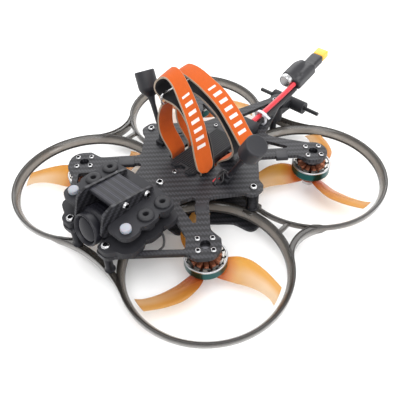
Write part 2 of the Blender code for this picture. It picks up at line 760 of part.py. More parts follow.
# A strap's centre line in X and Z: from the buckle down, under the plate, up, through the
# buckle and over again as the free tail
STRAP_LOOP = (
    (-17.6, 70.4), (-20.4, 65.0), (-22.2, 57.6), (-22.4, 50.0), (-20.4, 44.4), (-16.6, 39.6),
    (-13.2, 35.0), (-12.8, 31.0), (-11.4, 27.2), (0.0, 26.4), (11.4, 27.2), (12.8, 31.0),
)
FRONT_RISE = (
    (12.6, 38.0), (11.2, 46.0), (8.6, 54.6), (5.2, 62.0), (1.2, 68.6), (-3.2, 73.2),
    (-8.6, 75.2), (-15.8, 75.2),
)
FRONT_TAIL = (
    (-20.6, 76.4), (-23.2, 79.4), (-22.8, 83.8), (-19.4, 88.2), (-14.4, 90.2),
    (-9.8, 88.4), (-5.4, 83.8), (-1.0, 77.8), (3.6, 71.0), (7.8, 62.8), (10.6, 54.2),
    (12.8, 46.0), (15.6, 36.4),
)
REAR_RISE = (
    (16.4, 35.0), (22.6, 41.0), (25.0, 46.8), (23.0, 53.6), (18.6, 60.6), (13.2, 66.8),
    (6.8, 71.4), (0.0, 74.4), (-8.0, 75.6), (-15.8, 75.2),
)
REAR_TAIL = (
    (-20.6, 76.6), (-22.8, 80.4), (-20.4, 84.0), (-14.4, 85.0), (-7.0, 83.6), (0.0, 81.0),
    (8.0, 77.2), (14.6, 72.4), (21.0, 66.0), (27.0, 58.6), (32.6, 52.4),
)
STRAPS = {
    "front": (STRAP_FRONT, (*STRAP_LOOP, *FRONT_RISE, *FRONT_TAIL)),
    "rear": (STRAP_REAR, (*STRAP_LOOP, *REAR_RISE, *REAR_TAIL)),
}
BUCKLE_X = -16.4
BUCKLE_Z = (71.9, 78.2)
BUCKLE_R = 0.7


def ribbon_outline(points, thick, count=64):
    """Both sides of a strip of even thickness along a smooth line."""
    line = [Vector((x, z)) for x, _, z in smooth_route([(x, 0.0, z) for x, z in points], count)]
    left = []
    right = []
    for index, here in enumerate(line):
        before = line[max(index - 1, 0)]
        after = line[min(index + 1, len(line) - 1)]
        along = (after - before).normalized()
        side = Vector((-along.y, along.x)) * thick / 2
        left.append(tuple(here + side))
        right.append(tuple(here - side))
    return left + right[::-1]


def strap(name):
    """One strip of webbing, standing on edge along Y, and the buckle it passes through."""
    (front, rear), line = STRAPS[name]
    half = (rear - front) / 2
    middle = (rear + front) / 2
    ribbon = plate(f"strap_{name}", ribbon_outline(line, STRAP_T), [], -half, half, "strap_orange")
    ribbon.rotation_euler = (math.radians(90), 0.0, 0.0)
    ribbon.location = (0.0, middle * MM, 0.0)
    low, high = BUCKLE_Z
    wide = half + 1.0
    frame = rounded([
        (middle - wide, low, 1.6), (middle + wide, low, 1.6),
        (middle + wide, high, 1.6), (middle - wide, high, 1.6),
    ], 45.0)
    buckle = tube(f"buckle_{name}", [(BUCKLE_X, y, z) for y, z in frame], BUCKLE_R, "steel")
    buckle.data.splines[0].use_cyclic_u = True


# ---------------------------------------------------------------------- build

def build():
    main_plate()
    base_plate()
    for corner in CORNERS:
        guard_ring(corner)
        motor(corner)
        propeller(corner)
    guard_bands()
    posts()
    camera_decks()
    dampers()
    camera_cage()
    camera()
    electronics()
    video_antenna("left", 1)
    video_antenna("right", -1)
    tail_mount()
    rear_antenna()
    battery_lead()
    lead_clamp()
    for name in STRAPS:
        strap(name)


build()
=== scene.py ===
"""Looks for the ducted racing drone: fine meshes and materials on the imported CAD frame.

Lengths are in millimetres, in the CAD's own frame: +Z up, the nose to -Y, the left to +X,
with the underside of the lower plate at zero. mm() turns them into metres.
"""

import random
from bisect import bisect_left
from collections import namedtuple
from itertools import accumulate
from math import atan2, cos, pi, radians, sin, sqrt

import bmesh
import bpy
from mathutils import Matrix, Vector


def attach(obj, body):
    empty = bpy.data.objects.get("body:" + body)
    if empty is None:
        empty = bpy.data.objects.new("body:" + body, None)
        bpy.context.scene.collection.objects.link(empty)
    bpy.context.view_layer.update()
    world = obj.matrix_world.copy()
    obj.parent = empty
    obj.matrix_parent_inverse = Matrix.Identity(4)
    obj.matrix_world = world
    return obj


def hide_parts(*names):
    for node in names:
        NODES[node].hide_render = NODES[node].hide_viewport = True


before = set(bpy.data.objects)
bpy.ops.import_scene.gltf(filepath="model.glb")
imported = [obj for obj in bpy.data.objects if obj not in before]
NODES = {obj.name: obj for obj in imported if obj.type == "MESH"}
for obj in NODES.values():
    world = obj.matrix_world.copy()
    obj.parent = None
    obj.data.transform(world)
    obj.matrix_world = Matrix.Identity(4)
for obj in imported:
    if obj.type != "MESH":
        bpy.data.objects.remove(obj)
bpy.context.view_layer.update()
MM = 0.001
random.seed(7)

# Sizes shared with the CAD
MOTOR = 52.5
PLATE_TOP = 32.0
PLATE_LOW = 29.5
BORE_R = 46.5
RIM_R = 50.85
RING_LOW = 8.8
RING_TOP = 14.8
PROP_R = 44.45
PROP_Z = 11.3
STATOR_TOP = 23.4
BELL_R = 12.6
BELL_RIM = 22.8
EAR_X = 44.6  # the screwed ears of the guard, and the posts under them
POST_FOOT = 15.1
POST_TOP = 29.2
BASE_TOP = 2.3  # the base plate's top
TAIL_Y = 82.3
DAMPER_X = 22.2
ANTENNA_X = 27.8
CORNERS = {
    "front_left": (1, -1), "front_right": (-1, -1), "rear_left": (1, 1), "rear_right": (-1, 1),
}
ROTORS = {  # where a first blade lies, and which way the blades are swept
    "front_left": (16.0, 1), "front_right": (-148.0, -1),
    "rear_left": (0.0, -1), "rear_right": (50.0, 1),
}


def mm(point):
    return tuple(value * MM for value in point)


def move(x, y, z):
    return Matrix.Translation(Vector(mm((x, y, z))))


def about(axis, angle):
    return Matrix.Rotation(radians(angle), 4, axis)


def centre_of(corner):
    side, end = CORNERS[corner]
    return (side * MOTOR, end * MOTOR, 0.0)


# ---- materials

MAT = {}


class Look:
    """A short way to write one material. MAT keeps it under its name."""

    def __init__(self, name):
        MAT[name] = bpy.data.materials.new(name)
        MAT[name].use_nodes = True
        self.tree = MAT[name].node_tree
        self.shader = self.tree.nodes["Principled BSDF"]

    def put(self, socket, value):
        """Give a socket a number, a colour or a link."""
        if isinstance(value, (int, float)):
            socket.default_value = value
        elif isinstance(value, tuple):
            socket.default_value = (*value, 1.0)
        else:
            self.tree.links.new(value, socket)

    def add(self, kind, sockets=None, **settings):
        node = self.tree.nodes.new(kind)
        for key, value in settings.items():
            setattr(node, key, value)
        for key, value in (sockets or {}).items():
            self.put(node.inputs[key], value)
        return node

    def shade(self, **values):
        """Fill the shader's own sockets."""
        for key, value in values.items():
            self.put(self.shader.inputs[key.replace("_", " ")], value)

    def math(self, operation, first, second=0.0):
        return self.add("ShaderNodeMath", {0: first, 1: second}, operation=operation).outputs[0]

    def times(self, first, second):
        return self.math("MULTIPLY", first, second)

    def minus(self, first, second):
        return self.math("SUBTRACT", first, second)

    def clamp(self, value):
        return self.math("MINIMUM", self.math("MAXIMUM", value, 0.0), 1.0)

    def off_centre(self, value):
        """How far a value is from one half."""
        return self.math("ABSOLUTE", self.minus(value, 0.5))

    def wave(self, along, length):
        """A sine wave whose length is in millimetres."""
        return self.math("SINE", self.times(along, 2 * pi / (length * MM)))

    def mix(self, factor, first, second):
        return self.add("ShaderNodeMix", {0: factor, 6: first, 7: second}, data_type="RGBA").outputs[2]

    def ramp(self, factor, stops):
        """A colour ramp through rising (position, colour) stops."""
        node = self.add("ShaderNodeValToRGB", {0: factor})
        elements = node.color_ramp.elements
        elements[0].position = stops[0][0]
        elements[1].position = stops[-1][0]
        for position, _ in stops[1:-1]:
            elements.new(position)
        for element, (_, colour) in zip(elements, stops):
            element.color = (*colour, 1.0)
        return node.outputs[0]

    def facing(self, blend):
        return self.add("ShaderNodeLayerWeight", {"Blend": blend}).outputs["Facing"]

    def place(self, kind="Object"):
        return self.add("ShaderNodeTexCoord").outputs[kind]

    def axes(self, kind="Object"):
        return self.add("ShaderNodeSeparateXYZ", {0: self.place(kind)}).outputs

    def noise(self, scale, detail=3.0, vector=None):
        sockets = {"Scale": scale, "Detail": detail, "Vector": vector or self.place()}
        return self.add("ShaderNodeTexNoise", sockets).outputs["Fac"]

    def bump(self, height, strength, distance):
        node = self.add("ShaderNodeBump", {"Strength": strength, "Distance": distance, "Height": height})
        self.shade(Normal=node.outputs[0])

    def spread(self, value, low, high):
        return self.add("ShaderNodeMapRange", {"Value": value, "To Min": low, "To Max": high}).outputs[0]


def scaled(colour, factor):
    return tuple(min(1.0, value * factor) for value in colour)


def plain(name, colour, roughness, grain=900.0, vary=0.18, depth=0.00004, **uniform):
    """A surface with fine mottling in its colour, its gloss and its relief."""
    look = Look(name)
    fine = look.noise(grain)
    tone = look.mix(look.noise(grain * 0.12), scaled(colour, 1 - vary), scaled(colour, 1 + vary))
    gloss = look.spread(fine, roughness * 0.85, roughness * 1.15)
    look.shade(Base_Color=tone, Roughness=gloss, **uniform)
    look.bump(fine, 0.35, depth)


TOW = 1.45  # the width of one carbon tow


def carbon(name, across, along):
    """Twill-woven carbon sheet: tows pass over two and under two, with a painted sheen on the tows on top
    and painted shade in the grooves between tows.
    """
    look = Look(name)
    axes = look.axes()
    u = look.math("DIVIDE", axes[across], TOW * MM)
    v = look.math("DIVIDE", axes[along], TOW * MM)
    step = look.minus(look.math("FLOOR", u), look.math("FLOOR", v))
    over = look.math("LESS_THAN", look.math("FLOORED_MODULO", step, 4.0), 1.5)
    rounds = {0: over, 2: look.math("PINGPONG", u, 0.5), 3: look.math("PINGPONG", v, 0.5)}
    height = look.add("ShaderNodeMix", rounds, data_type="FLOAT").outputs[0]
    patch = look.noise(140.0)
    # Painted sheen: the tows on top are painted lighter than the tows beneath them.
    weave_light_and_shade = look.mix(over, (0.007, 0.007, 0.009), (0.035, 0.035, 0.041))
    # Painted shade: each tow is painted darker towards its edges, in the grooves between tows.
    groove = look.mix(look.times(height, 5.0), (0.005, 0.005, 0.006), weave_light_and_shade)
    tone = look.mix(look.times(patch, 0.25), groove, (0.026, 0.026, 0.031))
    look.shade(Base_Color=tone, Roughness=look.spread(patch, 0.42, 0.56), Specular_IOR_Level=0.35)
    look.bump(height, 0.35, 0.00010)


def beat(look, along):
    """Two slow waves multiplied, so that some layers come out lighter than others."""
    return look.math("MAXIMUM", look.times(look.wave(along, 1.9), look.wave(along, 3.3)), 0.0)


def printed(name, colour, layer=0.22, roughness=0.58, build_axis=2, streaks=0.1):
    """Flexible plastic laid down in thin layers, stacked along one axis."""
    look = Look(name)
    along = look.axes()[build_axis]
    patchy = look.noise(260.0)
    tone = look.mix(patchy, scaled(colour, 0.75), scaled(colour, 1.35))
    tone = look.mix(look.times(beat(look, along), streaks), tone, scaled(colour, 4.0))
    gloss = look.spread(patchy, roughness - 0.08, roughness + 0.08)
    look.shade(Base_Color=tone, Roughness=gloss, Specular_IOR_Level=0.33)
    layers = look.times(look.wave(along, layer), 0.5)
    look.bump(look.math("ADD", layers, look.noise(2600.0, 2.0)), 0.35, 0.00006)


# The guard's colour by height, from foot to top: painted shade at both rims and a painted band of light
# round the middle.
SMOKE_FOOT_SHADE = (0.035, 0.030, 0.027)
SMOKE_LIGHT_AND_SHADE = ((0.16, 0.07), (0.36, 0.40), (0.66, 0.34), (0.87, 0.05))  # share of height, grey
SMOKE_TOP_SHADE = (0.020, 0.017, 0.015)


def smoke_plastic():
    """Smoke-tinted clear moulding, with painted shade darkest along its thick top and bottom rims, a
    painted band of light round the middle, and painted shade where it is seen edge on.
    """
    look = Look("smoke_guard")
    low = RING_LOW * MM
    height = look.minus(look.axes()[2], low)
    middle = [(level, (tone, tone * 0.91, tone * 0.81)) for level, tone in SMOKE_LIGHT_AND_SHADE]
    stops = ((0.0, SMOKE_FOOT_SHADE), *middle, (1.0, SMOKE_TOP_SHADE))
    height_shading = look.ramp(look.math("DIVIDE", height, RING_TOP * MM - low), stops)
    streak = look.noise(70.0, 4.0)
    # Painted shade where the guard is seen edge on.
    shaded_smoke = look.mix(look.facing(0.3), height_shading, (0.030, 0.026, 0.023))
    shaded_smoke = look.mix(look.times(streak, 0.35), shaded_smoke, (0.14, 0.125, 0.11))
    look.shade(Base_Color=shaded_smoke, Roughness=look.spread(streak, 0.07, 0.18),
               Transmission_Weight=0.5, IOR=1.3, Coat_Weight=0.6, Coat_Roughness=0.06)


AMBER = ((0.24, (0.60, 0.110, 0.008)), (0.44, (0.74, 0.38, 0.045)), (0.95, (0.76, 0.45, 0.15)))


def prop_plastic():
    """Translucent amber: red-orange at the root, pale straw as painted light showing through where a blade
    is thin and seen face on, and deep amber as painted shade where it is seen edge on.
    """
    look = Look("prop_amber")
    axes = look.axes()
    squares = look.math("ADD", look.times(axes[0], axes[0]), look.times(axes[1], axes[1]))
    reach = look.math("SQRT", squares)
    body = look.ramp(look.math("DIVIDE", reach, PROP_R * MM), AMBER)
    facing = look.facing(0.72)
    root = look.clamp(look.minus(1.45, look.math("DIVIDE", reach, 0.55 * PROP_R * MM)))
    # Painted shade where a blade is seen edge on, deepest near the root.
    edge_on_shade = look.mix(root, (0.50, 0.17, 0.008), (0.42, 0.025, 0.002))
    tone = look.mix(look.times(facing, 0.95), body, edge_on_shade)
    across = look.axes("UV")[0]
    thin = look.clamp(look.times(look.minus(across, 0.32), 3.2))
    # Painted light showing through: where a blade is thin and seen face on, away from the root, it is
    # painted pale straw.
    face_on_see_through = look.times(thin, look.math("POWER", look.minus(1.0, facing), 1.5))
    pale = look.times(look.times(face_on_see_through, look.minus(1.0, root)), 0.95)
    tone = look.mix(pale, tone, (0.82, 0.68, 0.52))
    cloud = look.noise(42.0)
    tone = look.mix(look.times(cloud, 0.16), tone, (0.80, 0.58, 0.30))
    look.shade(Base_Color=tone, Roughness=look.spread(cloud, 0.10, 0.22), Transmission_Weight=0.6,
               IOR=1.25, Specular_IOR_Level=0.3, Coat_Weight=0.12, Coat_Roughness=0.08)


RIBS_ACROSS = 17.0
RIBS_ALONG = 26.0  # in one strap width


def webbing(name, thread, edge, marks=False):
    """Woven strap: u runs across it from 0 to 1 and v along it, counted in widths."""
    look = Look(name)
    uv = look.axes("UV")
    rib_v = look.times(uv[1], RIBS_ALONG)
    rib_u = look.times(uv[0], RIBS_ACROSS)
    cell = look.math("ADD", look.math("FLOOR", rib_u), look.math("FLOOR", rib_v))
    odd = look.math("FLOORED_MODULO", cell, 2.0)
    lift = look.times(look.math("PINGPONG", rib_v, 0.5), look.math("PINGPONG", rib_u, 0.5))
    weave_light_and_shade = look.times(lift, 4.0)
    # Painted shade: the cloth is painted darker in the dips between the ribs and lighter on their tops.
    cloth = look.mix(weave_light_and_shade, scaled(thread, 0.72), scaled(thread, 1.08))
    cloth = look.mix(look.times(odd, 0.22), cloth, scaled(thread, 0.62))
    cloth = look.mix(look.times(look.noise(420.0, 4.0), 0.25), cloth, scaled(thread, 1.3))
    if marks:
        cloth = grip_bars(look, uv, cloth)
    border = look.math("GREATER_THAN", look.off_centre(uv[0]), 0.482)
    look.shade(Base_Color=look.mix(border, cloth, edge), Roughness=0.82, Sheen_Weight=0.12,
               Sheen_Roughness=0.45, Specular_IOR_Level=0.2)
    look.bump(weave_light_and_shade, 0.6, 0.00015)


BARS_START = 1.25  # where the grip bars lie, in widths from the strap's free end
BARS_END = 4.2
BAR_STEP = 0.44


def grip_bars(look, uv, cloth):
    """A plain row of pale silicone grip bars where the tail lies on top."""
    along = look.math("FRACT", look.math("DIVIDE", uv[1], BAR_STEP))
    bar = look.math("LESS_THAN", look.off_centre(along), 0.2)
    inside = look.math("LESS_THAN", look.off_centre(uv[0]), 0.27)
    after = look.math("GREATER_THAN", uv[1], BARS_START)
    before = look.math("LESS_THAN", uv[1], BARS_END)
    shown = look.times(look.times(bar, inside), look.times(after, before))
    return look.mix(shown, cloth, (0.70, 0.64, 0.62))


def wound_copper():
    """Enamelled wire in close turns."""
    look = Look("copper")
    turns = look.wave(look.axes()[2], 0.55)
    # Random patches of copper tone, their bright end partly a painted glint on the wire.
    copper_tone_and_glints = look.mix(look.noise(380.0), (0.12, 0.022, 0.010), (0.56, 0.22, 0.12))
    look.shade(Base_Color=copper_tone_and_glints, Metallic=0.75, Roughness=0.34)
    look.bump(turns, 0.8, 0.00018)


def brushed(name, colour, roughness, scale=(60.0, 60.0, 2600.0)):
    """Metal with fine turned or brushed lines."""
    look = Look(name)
    mapping = look.add("ShaderNodeMapping", {"Vector": look.place()})
    mapping.inputs["Scale"].default_value = scale
    lines = look.noise(1.0, 3.0, mapping.outputs[0])
    tone = look.mix(lines, scaled(colour, 0.82), scaled(colour, 1.12))
    gloss = look.spread(lines, roughness * 0.8, roughness * 1.25)
    look.shade(Base_Color=tone, Roughness=gloss, Metallic=1.0)
    look.bump(lines, 0.15, 0.00003)


def circuit():
    """Black solder mask with faint tracks."""
    look = Look("circuit")
    brick = look.add("ShaderNodeTexBrick", {
        "Scale": 260.0, "Mortar Size": 0.012, "Color1": (0.010, 0.016, 0.020),
        "Color2": (0.014, 0.024, 0.030), "Mortar": (0.10, 0.085, 0.05), "Vector": look.place(),
    })
    look.shade(Base_Color=brick.outputs["Color"], Roughness=0.4)
    look.bump(brick.outputs["Fac"], 0.3, 0.00005)


carbon("carbon", 0, 1)
carbon("carbon_side", 1, 2)
smoke_plastic()
prop_plastic()
wound_copper()
circuit()
printed("black_tpu", (0.013, 0.013, 0.016))
printed("cover_print", (0.009, 0.009, 0.013), 0.85, 0.50, 1, 1.0)
webbing("web_orange", (0.58, 0.100, 0.010), (0.42, 0.29, 0.20), marks=True)
webbing("web_black", (0.010, 0.010, 0.012), (0.20, 0.18, 0.16))
brushed("bell_teal", (0.014, 0.078, 0.074), 0.36)
brushed("silver", (0.46, 0.46, 0.47), 0.30)
brushed("lamination", (0.42, 0.40, 0.38), 0.34)
brushed("dark_alu", (0.10, 0.10, 0.11), 0.34)
brushed("steel", (0.50, 0.50, 0.51), 0.25, (900.0, 900.0, 900.0))
plain("web_edge", (0.34, 0.27, 0.21), 0.85, 1500.0)
# A darker, opaque copy of the guard's plastic for its rim faces: painted shade.
plain("smoke_rim_shade", (0.020, 0.017, 0.015), 0.26, 500.0, Specular_IOR_Level=0.3)
plain("black_metal", (0.018, 0.018, 0.021), 0.38, 1500.0, Metallic=0.85)
plain("rubber", (0.011, 0.011, 0.014), 0.60, 1400.0)
plain("pin_white", (0.31, 0.325, 0.37), 0.42, 700.0, 0.06, Subsurface_Weight=0.3, Subsurface_Scale=0.002)
plain("lens_black", (0.008, 0.008, 0.012), 0.44, 1200.0, Specular_IOR_Level=0.36)
plain("lens_glass", (0.003, 0.003, 0.006), 0.10, 300.0, 0.5, 0.000001, Specular_IOR_Level=0.12,
      Coat_Weight=0.06, Coat_Roughness=0.04, Coat_Tint=(0.62, 0.60, 0.85))
plain("connector_yellow", (0.88, 0.46, 0.045), 0.36, 800.0, 0.08)
plain("heat_shrink", (0.015, 0.015, 0.019), 0.44, 500.0)
plain("sleeve", (0.010, 0.010, 0.014), 0.50, 500.0)
plain("wire_red", (0.58, 0.028, 0.042), 0.36, 600.0, 0.12)
plain("wire_black", (0.014, 0.014, 0.016), 0.40, 600.0)
plain("tie_white", (0.60, 0.61, 0.66), 0.38, 600.0, 0.05)


# ---- meshes

def new_object(name, data):
    obj = bpy.data.objects.new(name, data)
    bpy.context.scene.collection.objects.link(obj)
    return obj


def new_piece(name, bm, at=(0.0, 0.0, 0.0)):
    mesh = bpy.data.meshes.new(name)
    bmesh.ops.recalc_face_normals(bm, faces=bm.faces)
    bm.to_mesh(mesh)
    bm.free()
    obj = new_object(name, mesh)
    obj.location = mm(at)
    return obj


def finish_piece(obj, material, slot=None, body="airframe", smooth=40.0, replaces=()):
    """Materials, shading and body. The slot argument is not used."""
    materials = material if isinstance(material, list) else [material]
    for name in materials:
        obj.data.materials.append(MAT[name])
    if obj.type == "MESH":
        for face in obj.data.polygons:
            face.use_smooth = True
        obj.data.set_sharp_from_angle(angle=radians(smooth))
    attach(obj, body)
    if replaces:
        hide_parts(*replaces)


def add_piece(name, bm, material, slot=None, at=(0.0, 0.0, 0.0), **details):
    obj = new_piece(name, bm, at)
    finish_piece(obj, material, slot, **details)
    return obj


def lathe(bm, profile, steps=48, matrix=None, start=0.0, sweep=360.0, material=0):
    """Turn an (r, z) profile round Z. Points on the axis become one vertex."""
    whole = sweep >= 360.0
    count = steps if whole else steps + 1
    rings = []
    for radius, height in profile:
        r = radius * MM
        if radius < 1e-6:
            rings.append([bm.verts.new((0.0, 0.0, height * MM))] * count)
            continue
        ring = []
        for index in range(count):
            angle = radians(start + sweep * index / steps)
            ring.append(bm.verts.new((r * cos(angle), r * sin(angle), height * MM)))
        rings.append(ring)
    made = {vert for ring in rings for vert in ring}
    for a, b in zip(rings, rings[1:]):
        for index in range(count if whole else count - 1):
            following = (index + 1) % count
            corners = dict.fromkeys((a[index], a[following], b[following], b[index]))
            if len(corners) > 2:
                bm.faces.new(list(corners)).material_index = material
    if matrix is not None:
        bmesh.ops.transform(bm, matrix=matrix, verts=list(made))


def soften(profile, radius=0.25):
    """Cut each sharp corner of an (r, z) profile back with two short steps."""
    result = [profile[0]]
    for before, here, after in zip(profile, profile[1:], profile[2:]):
        here = Vector(here)
        back = Vector(before) - here
        ahead = Vector(after) - here
        reach = min(radius, back.length * 0.45, ahead.length * 0.45)
        first = here + back.normalized() * reach
        last = here + ahead.normalized() * reach
        middle = (first + last + here * 2) / 4
        result.extend([tuple(first), tuple(middle), tuple(last)])
    result.append(profile[-1])
    return result


def cuboid(bm, low, high, matrix=None, bevel=0.0, segments=2, material=0):
    """A block between two corners, its edges rounded."""
    size = Vector(high) - Vector(low)
    middle = (Vector(high) + Vector(low)) / 2
    made = bmesh.ops.create_cube(bm, size=1.0)["verts"]
    bmesh.ops.scale(bm, vec=size * MM, verts=made)
    bmesh.ops.translate(bm, vec=middle * MM, verts=made)
    if bevel:
        edges = list({edge for vert in made for edge in vert.link_edges})
        result = bmesh.ops.bevel(
            bm, geom=edges, offset=bevel * MM, offset_type="OFFSET", segments=segments,
            profile=0.5, affect="EDGES",
        )
        made = list({vert for face in result["faces"] for vert in face.verts})
    for face in {face for vert in made for face in vert.link_faces}:
        face.material_index = material
    if matrix is not None:
        bmesh.ops.transform(bm, matrix=matrix, verts=made)


def pipe(name, line, radius):
    """A round wire along a fine line of points."""
    curve = bpy.data.curves.new(name, "CURVE")
    curve.dimensions = "3D"
    curve.bevel_depth = radius * MM
    curve.bevel_resolution = 5
    curve.use_fill_caps = True
    spline = curve.splines.new("POLY")
    spline.points.add(len(line) - 1)
    for knot, point in zip(spline.points, line):
        knot.co = (*mm(point), 1.0)
        knot.radius = 1.0
    spline.use_smooth = True
    return new_object(name, curve)


def distances(points):
    """How far along a line each of its points is."""
    gaps = [(after - here).length for here, after in zip(points, points[1:])]
    return list(accumulate(gaps, initial=0.0))


def smooth_line(route, count):
    """Even points on a Catmull-Rom curve through a route, in however many axes it has."""
    route = [Vector(point) for point in route]
    knots = [2 * route[0] - route[1], *route, 2 * route[-1] - route[-2]]
    dense = []
    for a, b, c, d in zip(knots, knots[1:], knots[2:], knots[3:]):
        for step in range(24):
            t = step / 24
            dense.append(0.5 * (
                2 * b + (c - a) * t + (2 * a - 5 * b + 4 * c - d) * t ** 2
                + (3 * b - a - 3 * c + d) * t ** 3
            ))
    dense.append(route[-1])
    lengths = distances(dense)
    result = []
    for number in range(count):
        target = lengths[-1] * number / (count - 1)
        index = min(max(bisect_left(lengths, target), 1), len(dense) - 1)
        before = lengths[index - 1]
        share = (target - before) / (lengths[index] - before)
        result.append(dense[index - 1].lerp(dense[index], share))
    return result


def turned_piece(name, profile, centre, material, replaces, slot=None, steps=40, lean=None):
    """A turned part of the airframe that stands for one CAD node."""
    bm = bmesh.new()
    lathe(bm, profile, steps)
    obj = new_piece(name, bm, centre)
    if lean is not None:
        obj.rotation_euler = Vector(lean).to_track_quat("Z", "Y").to_euler()
    finish_piece(obj, material, slot, smooth=35.0, replaces=[replaces])


# ---- guards

RING_PROFILE = (
    (RIM_R, RING_TOP), (RIM_R + 0.1, RING_TOP - 0.5), (RIM_R + 0.1, 11.2), (RIM_R - 0.2, 10.8),
    (RIM_R - 0.9, 10.8), (RIM_R - 1.1, 11.1), (RIM_R - 1.1, 13.2), (49.3, 12.6), (48.2, 11.4),
    (BORE_R + 1.1, 10.2), (BORE_R + 1.0, RING_LOW), (BORE_R, RING_LOW), (BORE_R, 10.4),
    (46.9, 11.5), (48.0, 13.0), (49.3, 14.5), (50.0, RING_TOP),
)


def closed_sweep(bm, frames, profile, closed):
    """Skin a closed profile along frames of (origin, outward, up). Its rims take material 1."""
    rings = []
    for origin, outward, up in frames:
        rings.append([bm.verts.new(origin + outward * (a * MM) + up * (b * MM)) for a, b in profile])
    following = rings[1:] + rings[:1] if closed else rings[1:]
    count = len(profile)
    for one, two in zip(rings, following):
        for index in range(count):
            after = (index + 1) % count
            face = bm.faces.new((one[index], two[index], two[after], one[after]))
            face.material_index = int(on_rim(profile[index]) and on_rim(profile[after]))
    if not closed:
        bm.faces.new(rings[0])
        bm.faces.new(rings[-1][::-1])


def on_rim(point):
    """Whether a profile point is on a guard's top edge or on the lip round a duct's foot."""
    lip = BORE_R - 0.1 < point[0] < BORE_R + 1.05 and point[1] < 10.5
    return point[1] > RING_TOP - 0.1 or lip


BAND_STEPS = 40
BAND_MIDDLE = 12.6  # the level that a band's thin ends shrink towards


def band_frames(apex, turn):
    """Frames along a band's outer edge. The band is narrow and low where it runs into a ring.

    It bows out to -apex in Y between the two front rings, and is then turned about Z.
    """
    depth = apex - MOTOR
    radius = (MOTOR ** 2 + depth ** 2 - RIM_R ** 2) / (2 * (RIM_R - depth))
    half = atan2(MOTOR, apex + radius - MOTOR)
    rotation = about("Z", turn).to_3x3()
    frames = []
    for index in range(BAND_STEPS + 1):
        angle = half * (2 * index / BAND_STEPS - 1)
        out = Vector((sin(angle), cos(angle), 0.0))
        point = Vector((0.0, -(apex + radius), 0.0)) + radius * out
        to_end = min(index, BAND_STEPS - index) / BAND_STEPS
        width = 0.22 + 0.78 * min(1.0, to_end / 0.2)
        height = 0.5 + 0.5 * min(1.0, to_end / 0.08)
        origin = rotation @ (point * MM) + Vector((0.0, 0.0, BAND_MIDDLE * MM * (1 - height)))
        frames.append((origin, rotation @ -out * width, Vector((0.0, 0.0, height))))
    return frames


BAND_PROFILE = (
    (0.0, 14.8), (0.1, 14.3), (0.1, 9.4), (-0.2, 9.0), (-0.9, 9.0), (-1.1, 9.3), (-1.1, 13.2),
    (-1.5, 13.6), (-2.4, 13.6), (-2.7, 13.2), (-2.7, 9.3), (-2.9, 9.0), (-3.5, 9.0), (-3.8, 9.4),
    (-3.8, 14.3), (-3.7, 14.8), (-3.1, 14.8), (-2.9, 14.2), (-0.9, 14.2), (-0.7, 14.8),
)


RING_STEPS = 144
BANDS = ((92.5, 0.0), (89.2, 180.0), (82.0, 90.0), (82.0, -90.0))


def guard():
    """The whole guard as one smoke-tinted moulding: rings, bands and the webs between them."""
    bm = bmesh.new()
    up = Vector((0.0, 0.0, 1.0))
    for corner in CORNERS:
        centre = Vector(mm(centre_of(corner)))
        frames = []
        for index in range(RING_STEPS):
            angle = 2 * pi * index / RING_STEPS
            frames.append((centre, Vector((cos(angle), sin(angle), 0.0)), up))
        closed_sweep(bm, frames, RING_PROFILE, True)
    for apex, turn in BANDS:
        closed_sweep(bm, band_frames(apex, turn), BAND_PROFILE, False)
    for side in (1, -1):
        web = side * 69.0
        ear = side * EAR_X
        cuboid(bm, (web - 1.4, -6.0, 11.4), (web + 1.4, 6.0, 14.2), bevel=0.5)
        cuboid(bm, (ear - 3.4, -6.2, 10.4), (ear + 3.4, 6.2, 14.3), bevel=0.8)
    names = [f"guard_ring_{corner}" for corner in CORNERS]
    names += [f"guard_band_{where}" for where in ("front", "rear", "left", "right")]
    add_piece("guard_shell", bm, ["smoke_guard", "smoke_rim_shade"], smooth=50.0, replaces=names)


# ---- motors

TEETH = 12
MAGNETS = 14


def coil(bm, angle):
    """One wound tooth, and the laminated shoe at its outer end."""
    turn = about("Z", angle)
    cuboid(bm, (4.4, -1.35, 17.4), (9.3, 1.35, STATOR_TOP), turn, 0.9, 3, 0)
    cuboid(bm, (4.0, -0.6, 18.4), (9.9, 0.6, STATOR_TOP - 0.8), turn, 0.2, 1, 1)
    top = STATOR_TOP - 0.6
    lathe(bm, [(10.5, top), (10.5, 18.2), (9.6, 18.2), (9.6, top), (10.5, top)], 5, turn, -11.0, 22.0, 1)


def stator(corner):
    """A wound stator on its base, hung under the arm."""
    bm = bmesh.new()
    for number in range(TEETH):
        coil(bm, 360 / TEETH * (number + 0.5))
    base = soften([
        (0.0, PLATE_LOW - 0.2), (7.6, PLATE_LOW - 0.2), (8.2, 28.6), (8.0, 26.6), (4.6, 24.6),
        (4.4, 16.8), (3.0, 16.8), (3.0, 25.0), (0.0, 25.0),
    ], 0.3)
    lathe(bm, base, 40, material=2)
    add_piece(f"motor_stator_{corner}", bm, ["copper", "lamination", "dark_alu"],
              at=centre_of(corner), smooth=35.0, replaces=[f"stator_{corner}"])


